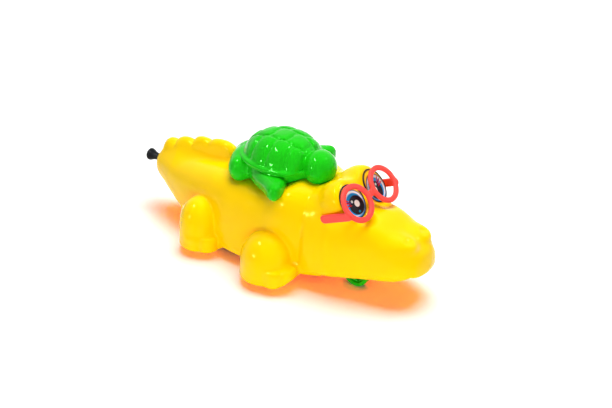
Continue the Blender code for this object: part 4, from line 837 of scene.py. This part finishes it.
def moulded(
    name, colour, rough, grain, spread=0.06, shine=0.5, tint=None, metallic=0.0, bump=0.15, glow=None
):
    """Moulded surface: colour drifts a little, gloss varies, and a fine grain breaks the reflections.

    A glow colour tints the light that passes the thin wall into the shadow.
    """
    made, tree, shader = nodes_of(name)
    link = tree.links.new
    drift = noise(tree, Scale=38.0, Detail=3.0, Roughness=0.55)
    colours = shade(colour, 1.0 - spread), shade(colour, 1.0 + spread)
    link(ramped(tree, drift, colours, NOISE_SPAN), shader.inputs["Base Color"])
    fine = noise(tree, Scale=grain, Detail=4.0, Roughness=0.6)
    gloss = max(rough - GLOSS_SPREAD[0], LEAST_ROUGH), rough + GLOSS_SPREAD[1]
    link(ranged(tree, fine, gloss, NOISE_SPAN), shader.inputs["Roughness"])
    bumped(tree, shader, fine, bump, GRAIN_DEPTH)
    shader.inputs["Metallic"].default_value = metallic
    shader.inputs["Specular IOR Level"].default_value = shine
    if tint:
        shader.inputs["Specular Tint"].default_value = (*tint, 1.0)
    if glow:
        through = add_node(tree, "ShaderNodeBsdfTransparent", Color=(*glow, 1.0))
        both = add_node(tree, "ShaderNodeMixShader")
        link(add_node(tree, "ShaderNodeLightPath").outputs["Is Shadow Ray"], both.inputs["Fac"])
        link(shader.outputs["BSDF"], both.inputs[1])
        link(through.outputs["BSDF"], both.inputs[2])
        link(both.outputs["Shader"], tree.nodes["Material Output"].inputs["Surface"])
    return made


def math_node(tree, operation, a, b=None):
    node = tree.nodes.new("ShaderNodeMath")
    node.operation = operation
    for slot, value in ((0, a), (1, b)):
        if value is None:
            continue
        if isinstance(value, (int, float)):
            node.inputs[slot].default_value = value
        else:
            tree.links.new(value, node.inputs[slot])
    return node.outputs[0]


def printed_eye(name):
    """Printed eye, drawn from the face's own plan coordinates in millimetres, outer side at negative u."""
    made, tree, shader = nodes_of(name)
    link = tree.links.new
    place = add_node(tree, "ShaderNodeUVMap", uv_map="plan")
    split = add_node(tree, "ShaderNodeSeparateXYZ")
    link(place.outputs["UV"], split.inputs["Vector"])

    def blend(*terms):
        """Sum of inputs, each times a number."""
        total = None
        for value, factor in terms:
            part = math_node(tree, "MULTIPLY", value, factor)
            total = part if total is None else math_node(tree, "ADD", total, part)
        return total

    def spot(centre, radii, turn=0.0, edge=0.07):
        """1 inside an oval that is turned by some degrees."""
        u = math_node(tree, "SUBTRACT", split.outputs["X"], centre[0])
        v = math_node(tree, "SUBTRACT", split.outputs["Y"], centre[1])
        c, s = math.cos(math.radians(turn)), math.sin(math.radians(turn))
        a = blend((u, c / radii[0]), (v, s / radii[0]))
        b = blend((u, -s / radii[1]), (v, c / radii[1]))
        square = math_node(tree, "ADD", math_node(tree, "MULTIPLY", a, a), math_node(tree, "MULTIPLY", b, b))
        away = math_node(tree, "SQRT", square)
        return ranged(tree, away, (0.0, 1.0), (1.0 + edge, 1.0 - edge), interpolation_type="SMOOTHSTEP")

    def lay(under, colour, mask):
        mix = add_node(tree, "ShaderNodeMix", data_type="RGBA")
        link(mask, mix.inputs[MIX_FACTOR])
        if isinstance(under, tuple):
            mix.inputs[MIX_UNDER].default_value = (*under, 1.0)
        else:
            link(under, mix.inputs[MIX_UNDER])
        mix.inputs[MIX_OVER].default_value = (*colour, 1.0)
        return mix.outputs[MIX_RESULT]

    black, white, blue, red = (0.008, 0.006, 0.012), (0.9, 0.88, 0.82), (0.0, 0.30, 0.72), (0.70, 0.0, 0.02)
    # Ovals from the back to the front: colour, centre, radii
    seen = (0.012, 0.004, 0.014)
    for colour, centre, radii in (
        ((0.95, 0.55, 0.01), (0.0, 0.1), (7.0, 8.1)),
        ((0.10, 0.02, 0.01), (0.0, -0.8), (7.0, 7.3)),
        (blue, (0.2, -1.4), (6.95, 6.9)),
        (white, (0.0, -1.1), (6.75, 6.55)),
        (blue, (0.5, -1.6), (5.7, 5.9)),
        ((0.05, 0.0, 0.0), (1.5, -2.3), (4.95, 4.9)),
        (black, (1.15, -2.3), (4.85, 4.9)),
        (white, (1.9, -1.7), (1.7, 1.8)),
        ((0.62, 0.63, 0.60), (-0.7, 0.2), (0.72, 0.72)),
        ((0.0, 0.28, 0.5), (1.3, -5.8), (0.75, 0.6)),
    ):
        seen = lay(seen, colour, spot(centre, radii))
    # Lashes: colour, centre, turn, half length, half width
    for colour, centre, turn, reach, half in (
        ((0.01, 0.02, 0.12), (-3.2, 0.5), -24.0, 2.2, 0.42),
        (red, (-4.0, -1.0), -12.0, 2.3, 0.36),
        (red, (-4.1, 0.5), -26.0, 2.2, 0.34),
        (red, (-3.9, 2.0), -38.0, 2.0, 0.32),
    ):
        seen = lay(seen, colour, spot(centre, (reach, half), turn, 0.25))
    link(seen, shader.inputs["Base Color"])
    dots = noise(tree, Scale=900.0, Detail=3.0)
    link(ranged(tree, dots, FOIL_ROUGH), shader.inputs["Roughness"])
    shader.inputs["Specular IOR Level"].default_value = 0.2
    return made


def fibre(name, colour):
    """Twisted cotton cord: fine threads across the lay."""
    made, tree, shader = nodes_of(name)
    threads = noise(tree, "ShaderNodeTexWave", Scale=900.0, Distortion=3.0, Detail=2.0)
    colours = shade(colour, 0.72), shade(colour, 1.05)
    tree.links.new(ramped(tree, threads, colours), shader.inputs["Base Color"])
    bumped(tree, shader, threads, 0.5, THREAD_DEPTH)
    shader.inputs["Roughness"].default_value = 0.9
    return made


YELLOW = moulded(
    "yellow_moulding", (1.0, 0.62, 0.0), 0.16, 900.0, spread=0.03, shine=0.3, tint=(1.0, 0.8, 0.1),
    bump=0.05, glow=(1.0, 0.52, 0.02),
)
GREEN = moulded(
    "green_moulding", (0.010, 0.50, 0.006), 0.07, 900.0, spread=0.1, shine=0.45, tint=(0.14, 1.0, 0.14),
    bump=0.05,
)
CORAL = moulded("coral_moulding", (1.0, 0.07, 0.055), 0.36, 1400.0, spread=0.05, shine=0.2, bump=0.12)
BLACK = moulded("black_moulding", (0.003, 0.004, 0.005), 0.34, 1200.0, spread=0.3, shine=0.12, bump=0.15)
CREAM = moulded("cream_nylon_moulding", (0.75, 0.72, 0.62), 0.45, 1500.0, spread=0.05)
RUBBER = moulded("tyre_rubber", (0.014, 0.014, 0.016), 0.75, 1800.0, spread=0.25, bump=0.4)
STEEL = moulded("drawn_steel", (0.55, 0.55, 0.57), 0.30, 2500.0, spread=0.12, metallic=1.0, bump=0.2)
EYE = printed_eye("printed_eye")
CORD = fibre("twisted_cord", (0.82, 0.81, 0.77))


# Pieces


def body_cavity():
    body, head = (form("cavity", rows, WALL, *CAVITY_MESH, WALL) for rows in (BODY_STATIONS, HEAD_STATIONS))
    return combine(body, [head], "UNION")


def paw_cavity(values, side):
    centre, radii = values["dome"]
    x, y, z = on_side(centre, -side)
    rings = []
    for rise in PAW_CAVITY_RISES:
        scale = math.sqrt(1.0 - max(rise, PAW_CAVITY_LOW) ** 2)
        reach = [scale * radius - PAW_WALL for radius in radii[:2]]
        rings.append([(x + u, y + v, z + rise * radii[2]) for u, v in ellipse(reach, 32)])
    return loft("paw_cavity", rings)


def make_shell():
    shell = skin("shell", crocodile, *SHELL_BOX, SHELL_STEP)
    cuts = [seam_block("below_seam", 0.0, BELOW_Z), body_cavity()]
    cuts.append(belly_slab("belly", RIM_WALL, (BELLY_START, BELLY_END), BELLY_Z))
    for side in (-1, 1):
        for values in (FRONT_PAW, REAR_PAW):
            cuts.append(paw_cavity(values, side))
        ends = [(PEG_X, side * y, PEG_Z) for y in PEG_HOLE_Y]
        cuts.append(cylinder("peg_hole", *ends, PEG_RADIUS + GAP))
        x, y = TURTLE_SCREW
        cuts.append(upright(x, side * y, TURTLE_HOLE_Z, SCREW_RADIUS + GAP))
    ends = [(x, 0, CORD_Z) for x in CORD_HOLE_X]
    cuts.append(cylinder("cord_hole", *ends, CORD_HOLE_RADIUS))
    combine(shell, cuts, "DIFFERENCE")
    for x, y in BODY_SCREWS:
        rim = [(x + u, y + v) for u, v in ellipse((BOSS_RADIUS, BOSS_RADIUS), 12)]
        top_z = min(max(roof(BODY_STATIONS, *at), roof(HEAD_STATIONS, *at)) for at in rim) - BOSS_SINK
        combine(shell, [upright(x, y, (BOSS_FOOT_Z, top_z), BOSS_RADIUS)], "UNION")
        pilot_z = BOSS_FOOT_Z - PILOT_DROP, PILOT_TOP_Z
        combine(shell, [upright(x, y, pilot_z, SCREW_RADIUS + PILOT_GAP)], "DIFFERENCE")
    finish(shell, "shell_moulding", YELLOW, "toy_body", ["upper_shell"])


def about(middle, half):
    return middle - half, middle + half


def make_base():
    jaw = form("jaw", HEAD_STATIONS, JAW_INSET, *FINE_MESH, JAW_INSET, JAW_TIP_INSET)
    inset = JAW_INSET + JAW_WALL
    hollow = form("hollow", HEAD_STATIONS, inset, *HOLLOW_MESH, inset, JAW_HOLLOW_TIP_INSET)
    combine(jaw, [hollow, seam_block("above_seam", -GAP, ABOVE_Z)], "DIFFERENCE")
    plate = belly_slab("base", RIM_WALL + GAP, (BELLY_START + GAP, BELLY_END), FLOOR_Z)
    low, high = FLOOR_Z
    added, cuts = [jaw], []

    def box(kind, x_ends, y_ends, z_ends):
        (x0, x1), (y0, y1), (z0, z1) = x_ends, sorted(y_ends), z_ends
        kind.append(block("box", (x0, y0, z0), (x1, y1, z1)))

    for x, y in BODY_SCREWS:
        added.append(upright(x, y, (low + SOCKET_ROOT, SOCKET_TOP_Z), SOCKET_RADIUS))
        cuts.append(upright(x, y, (0.0, COUNTERBORE_Z), SCREW_HEAD_RADIUS + GAP))
        cuts.append(upright(x, y, CLEARANCE_Z, SCREW_RADIUS + GAP))
    foot_z = low + SEAT_ROOT
    (front_x, front_z), (rear_x, rear_z) = FRONT_EAR, REAR_EAR
    seat_z = foot_z, front_z - EAR_RADIUS - GAP
    box(added, about(front_x, FRONT_SEAT_HALF), (-FRONT_SEAT_Y, FRONT_SEAT_Y), seat_z)
    slot = AXLE_RADIUS + GAP
    well_x = about(REAR_AXLE_X, REAR_WHEEL_RADIUS + WELL_GAP)
    well = about(REAR_WHEEL_Y, REAR_WHEEL_WIDTH / 2 + REAR_WELL_SIDE_GAP)
    wall, axle = ([well[0] + y for y in reach] for reach in (WELL_WALL_REACH, AXLE_SLOT_REACH))
    front_well_x = about(FRONT_AXLE_X, FRONT_WHEEL_RADIUS + WELL_GAP)
    front_well = about(FRONT_WHEEL_Y, FRONT_WHEEL_WIDTH / 2 + FRONT_WELL_SIDE_GAP)
    for side in (-1, 1):
        for kind, x_ends, y_ends, z_ends in (
            (added, about(rear_x, REAR_SEAT_HALF), REAR_SEAT_Y, (foot_z, rear_z - EAR_RADIUS - GAP)),
            (added, well_x, wall, (foot_z, WELL_WALL_Z)),
            (cuts, about(REAR_AXLE_X, slot), axle, (REAR_WHEEL_RADIUS - slot, REAR_WELL_Z)),
            (cuts, well_x, well, (0.0, REAR_WELL_Z)),
            (added, about(FRONT_AXLE_X, LUG_HALF), LUG_Y, LUG_Z),
            (cuts, front_well_x, front_well, (0.0, FRONT_WELL_Z)),
        ):
            box(kind, x_ends, [side * y for y in y_ends], z_ends)
    ends = [(FRONT_AXLE_X, y, FRONT_WHEEL_RADIUS) for y in (-FRONT_BORE_REACH, FRONT_BORE_REACH)]
    cuts.append(cylinder("front_bore", *ends, slot))
    box(cuts, WINDOW_X, (-WINDOW_Y, WINDOW_Y), (0.0, high + 1.0))
    combine(plate, added, "UNION")
    combine(plate, cuts, "DIFFERENCE")
    finish(plate, "belly_and_jaw", YELLOW, "toy_body", ["base"])


def make_turtle():
    solid = skin("turtle", turtle, *TURTLE_BOX, TURTLE_STEP)
    rings = []
    for i, (x, half_length, half_width, z) in enumerate(TURTLE_BODY):
        outline = ellipse((half_length - TURTLE_WALL, half_width - TURTLE_WALL), 48)
        rings.append([(x + u, v, TURTLE_HOLLOW_Z if i == 0 else z) for u, v in outline])
    bm = bmesh.new()
    bmesh.ops.create_uvsphere(bm, u_segments=48, v_segments=32, radius=1.0)
    inner = [radius - TURTLE_WALL - GROOVE_DEPTH for radius in TURTLE_RADII]
    bm.transform(Matrix.Translation(TURTLE_CENTRE) @ Matrix.Diagonal((*inner, 1.0)))
    dome = add_object("dome", bm)
    below = block("below", (-ASIDE, -ASIDE, 0), (ASIDE, ASIDE, TURTLE_FOOT_Z - 0.5))
    ahead = block("ahead", (TURTLE_HOLLOW_END_X, -ASIDE, -10), (70, ASIDE, 100))
    combine(dome, [below, ahead], "DIFFERENCE")
    combine(solid, [loft("hollow", rings), dome], "DIFFERENCE")
    x, y = TURTLE_SCREW
    for side in (-1, 1):
        combine(solid, [upright(x, side * y, POST_Z, POST_RADIUS)], "UNION")
        combine(solid, [upright(x, side * y, TURTLE_PILOT_Z, SCREW_RADIUS + PILOT_GAP)], "DIFFERENCE")
    combine(solid, [form("back", BODY_STATIONS, -TURTLE_CLEARANCE, *FINE_MESH)], "DIFFERENCE")
    finish(solid, "turtle_moulding", GREEN, "toy_body", ["turtle"])


def make_glasses():
    solid = skin("glasses", spectacles, *GLASSES_BOX, GLASSES_STEP)
    finish(solid, "glasses_moulding", CORAL, "spectacles", ["glasses"])


def make_eye(side, name):
    """Slightly domed oval foil with the printed eye, in the frame of the eye's face."""
    rings, count = 10, 64
    bm = bmesh.new()
    uv = bm.loops.layers.uv.new("plan")
    rows = []
    for k in range(rings):
        share = math.sin(0.5 * math.pi * (k + 1) / rings)
        level = FOIL_TOP - FOIL_CROWN * share**2 - (FOIL_ROUND if k == rings - 1 else 0.0)
        points = ellipse((FOIL_WIDTH / 2 * share, FOIL_HEIGHT / 2 * share), count)
        rows.append([bm.verts.new((u, v - FOIL_DROP, level)) for u, v in points])
    rows.append([bm.verts.new((vert.co.x, vert.co.y, FOIL_LIFT)) for vert in rows[-1]])
    top = bm.verts.new((0, -FOIL_DROP, FOIL_TOP))
    for i in range(count):
        bm.faces.new((top, rows[0][i], rows[0][(i + 1) % count]))
        for first, second in zip(rows, rows[1:]):
            bm.faces.new((first[i], second[i], second[(i + 1) % count], first[(i + 1) % count]))
    bm.faces.new(rows[-1][::-1])
    for face in bm.faces:
        for loop in face.loops:
            x, y, _ = loop.vert.co
            loop[uv].uv = (-side * x, y + FOIL_DROP)
    plate = placed(add_object(name, bm), eye_frame(side))
    finish(plate, f"eye_print_{name}", EYE, "toy_body", [f"eye_foil_{name}"], 50.0)


def make_knob():
    rows = [(0.0, 0.0), (KNOB_NECK - KNOB_ROUND, 0.0), (KNOB_NECK, KNOB_ROUND)]
    rows += [(KNOB_NECK + out, back * KNOB_LENGTH) for out, back in KNOB_FLARE]
    rows += [(radius * KNOB_RADIUS, back * KNOB_LENGTH) for radius, back in KNOB_SHARES]
    outwards = Matrix.Translation((KNOB_FRONT_X, 0.0, CORD_Z)) @ Matrix.Rotation(math.radians(90.0), 4, "Z")
    solid = placed(turned("knob", rows, 48), outwards)
    finish(solid, "knob_moulding", BLACK, "pull", ["pull_knob"], 50.0)


def twisted(name, route, step):
    """Three-strand twisted cord along a route."""
    places = np.array(route)
    run = np.concatenate([[0.0], np.cumsum(np.linalg.norm(np.diff(places, axis=0), axis=1))])
    want = np.linspace(0.0, run[-1], max(int(run[-1] / step), 2))
    path = np.stack([np.interp(want, run, places[:, k]) for k in range(3)], 1)
    ahead = np.gradient(path, axis=0)
    ahead /= np.linalg.norm(ahead, axis=1)[:, None]
    across = np.array((0.0, 1.0, 0.0)) - ahead * ahead[:, 1:2]
    across /= np.linalg.norm(across, axis=1)[:, None]
    upward = np.cross(ahead, across)
    rings = []
    for s, centre, a, b in zip(want, path, across, upward):
        ring = []
        for k in range(CORD_SIDES):
            angle = 2 * math.pi * k / CORD_SIDES
            wave = math.cos(STRANDS * angle - 2 * math.pi * s / CORD_LAY)
            radius = CORD_RADIUS * (1.0 - STRAND_DEPTH + STRAND_DEPTH * wave)
            ring.append(tuple(centre + radius * (math.cos(angle) * a + math.sin(angle) * b)))
        rings.append(ring)
    return loft(name, rings)


def make_cords():
    route = []
    for i in range(int(WIND_TURNS * WIND_STEPS) + 1):
        left = WIND_TURNS - i / WIND_STEPS
        angle = math.pi / 2 - 2 * math.pi * left
        x, z = DRUM_X + WIND_RADIUS * math.cos(angle), DRUM_Z + WIND_RADIUS * math.sin(angle)
        route.append((x, -WIND_PITCH * left, z))
    straight = 2 * CORD_RADIUS
    first = Vector(route[0]) + (Vector(route[0]) - Vector(route[1])).normalized() * straight
    route = [tuple(first)] + route + [(route[-1][0] - straight, 0.0, CORD_Z)]
    start, end = (route[-1][0] - GAP, 0.0, CORD_Z), (KNOB_FRONT_X + GAP, 0.0, CORD_Z)
    finish(twisted("wound", route, 0.5), "wound_cord", CORD, "drum", ["cord_winding"], 80.0)
    run = finish(twisted("run", [start, end], 0.3), "cord_run", CORD, None, ["pull_cord"], 80.0)
    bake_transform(run)


def mirrored(rows):
    return rows + [(radius, -y) for radius, y in rows[::-1]]


def make_wheels():
    half = REAR_WHEEL_WIDTH / 2
    rim = REAR_WHEEL_RADIUS - TYRE_DEPTH - GAP
    bore = AXLE_RADIUS + BORE_GAP
    rear = [(bore, -half), (3.1, -half), (3.4, 0.3 - half), (3.6, -1.1), (3.9, -0.8), (rim - 2.3, -0.8)]
    rear += [(rim - 2.0, -1.0), (rim - 1.7, 0.3 - half), (rim - 1.4, -half), (rim, -half)]
    tread = REAR_WHEEL_RADIUS
    inner = REAR_WHEEL_RADIUS - TYRE_DEPTH
    side_y = half - 0.1
    tyre = [(inner, -side_y), (tread - 0.6, -side_y), (tread - 0.15, 0.25 - side_y), (tread, 0.6 - side_y)]
    tyre += [(tread - depth, y) for depth, y in TREAD]
    front_half = FRONT_WHEEL_WIDTH / 2
    front_rim = FRONT_WHEEL_RADIUS
    front = [(bore, -front_half), (2.4, -front_half), (2.6, 0.2 - front_half), (2.7, -0.8), (5.4, -0.8)]
    front += [(5.6, 0.2 - front_half), (5.8, -front_half), (front_rim - 0.5, -front_half)]
    front += [(front_rim - 0.12, 0.15 - front_half), (front_rim, 0.5 - front_half)]
    for name, side in (("left", 1), ("right", -1)):
        at = Matrix.Translation((REAR_AXLE_X, side * REAR_WHEEL_Y, REAR_WHEEL_RADIUS))
        for kind, rows, surface, slot in (
            ("wheel", rear, GREEN, "green_plastic"),
            ("tyre", tyre, RUBBER, "black_rubber"),
        ):
            solid = placed(turned(kind, mirrored(rows), 72), at)
            finish(solid, f"driven_{kind}_{name}", surface, "rear_wheels", [f"rear_{kind}_{name}"])
        solid = turned("wheel", mirrored(front), 64)
        for i in range(SPOKE_HOLES):
            turn = 2 * math.pi * i / SPOKE_HOLES
            x, z = SPOKE_HOLE_REACH * math.cos(turn), SPOKE_HOLE_REACH * math.sin(turn)
            combine(solid, [cylinder("hole", (x, -9, z), (x, 9, z), SPOKE_HOLE_RADIUS, 24)], "DIFFERENCE")
        placed(solid, Matrix.Translation((FRONT_AXLE_X, side * FRONT_WHEEL_Y, FRONT_WHEEL_RADIUS)))
        finish(solid, f"nose_wheel_{name}", GREEN, "front_wheels", [f"front_wheel_{name}"])


def dress_solids():
    """Materials of the solids that show as they are."""
    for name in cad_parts:
        obj = bpy.data.objects.get(name)
        if obj is None or obj.hide_render:
            continue
        obj.data.materials.clear()
        obj.data.materials.append(CREAM if name in NYLON_NODES else STEEL)


# Floor, light and background


def make_stage():
    bm = bmesh.new()
    bmesh.ops.create_grid(bm, x_segments=2, y_segments=2, size=FLOOR_HALF)
    floor = add_object("floor", bm)
    surface, tree, shader = nodes_of("pale_floor")
    drift = noise(tree, Scale=3.0, Detail=2.0)
    tree.links.new(ramped(tree, drift, ((0.94,) * 3, (0.97,) * 3)), shader.inputs["Base Color"])
    shader.inputs["Roughness"].default_value = 0.9
    shader.inputs["Specular IOR Level"].default_value = 0.1
    floor.data.materials.append(surface)

    world = bpy.data.worlds.new("studio")
    bpy.context.scene.world = world
    world.use_nodes = True
    tree = world.node_tree
    back = tree.nodes["Background"]
    back.inputs["Color"].default_value = (1.0, 1.0, 1.0, 1.0)
    rays = add_node(tree, "ShaderNodeLightPath")
    seen = math_node(tree, "MAXIMUM", rays.outputs["Is Camera Ray"], rays.outputs["Is Glossy Ray"])
    seen = math_node(tree, "MAXIMUM", seen, rays.outputs["Is Transmission Ray"])
    tree.links.new(ranged(tree, seen, (WORLD_LIGHT, WORLD_SEEN)), back.inputs["Strength"])

    for name, place, size, power in LAMPS:
        data = bpy.data.lights.new(name, "AREA")
        data.shape = "RECTANGLE"
        data.size, data.size_y = size
        data.energy = power
        lamp = linked(name, data)
        lamp.location = place
        aim = Vector(LAMP_TARGET) - Vector(place)
        lamp.rotation_euler = aim.to_track_quat("-Z", "Y").to_euler()
        lamp.visible_glossy = name not in SOFT_LAMPS
        lamp.visible_diffuse = not lamp.visible_glossy


make_camera()
make_cords()
make_shell()
make_base()
make_turtle()
make_glasses()
make_eye(1, "left")
make_eye(-1, "right")
make_knob()
make_wheels()
dress_solids()
make_stage()
bpy.context.scene.view_settings.view_transform = "Standard"
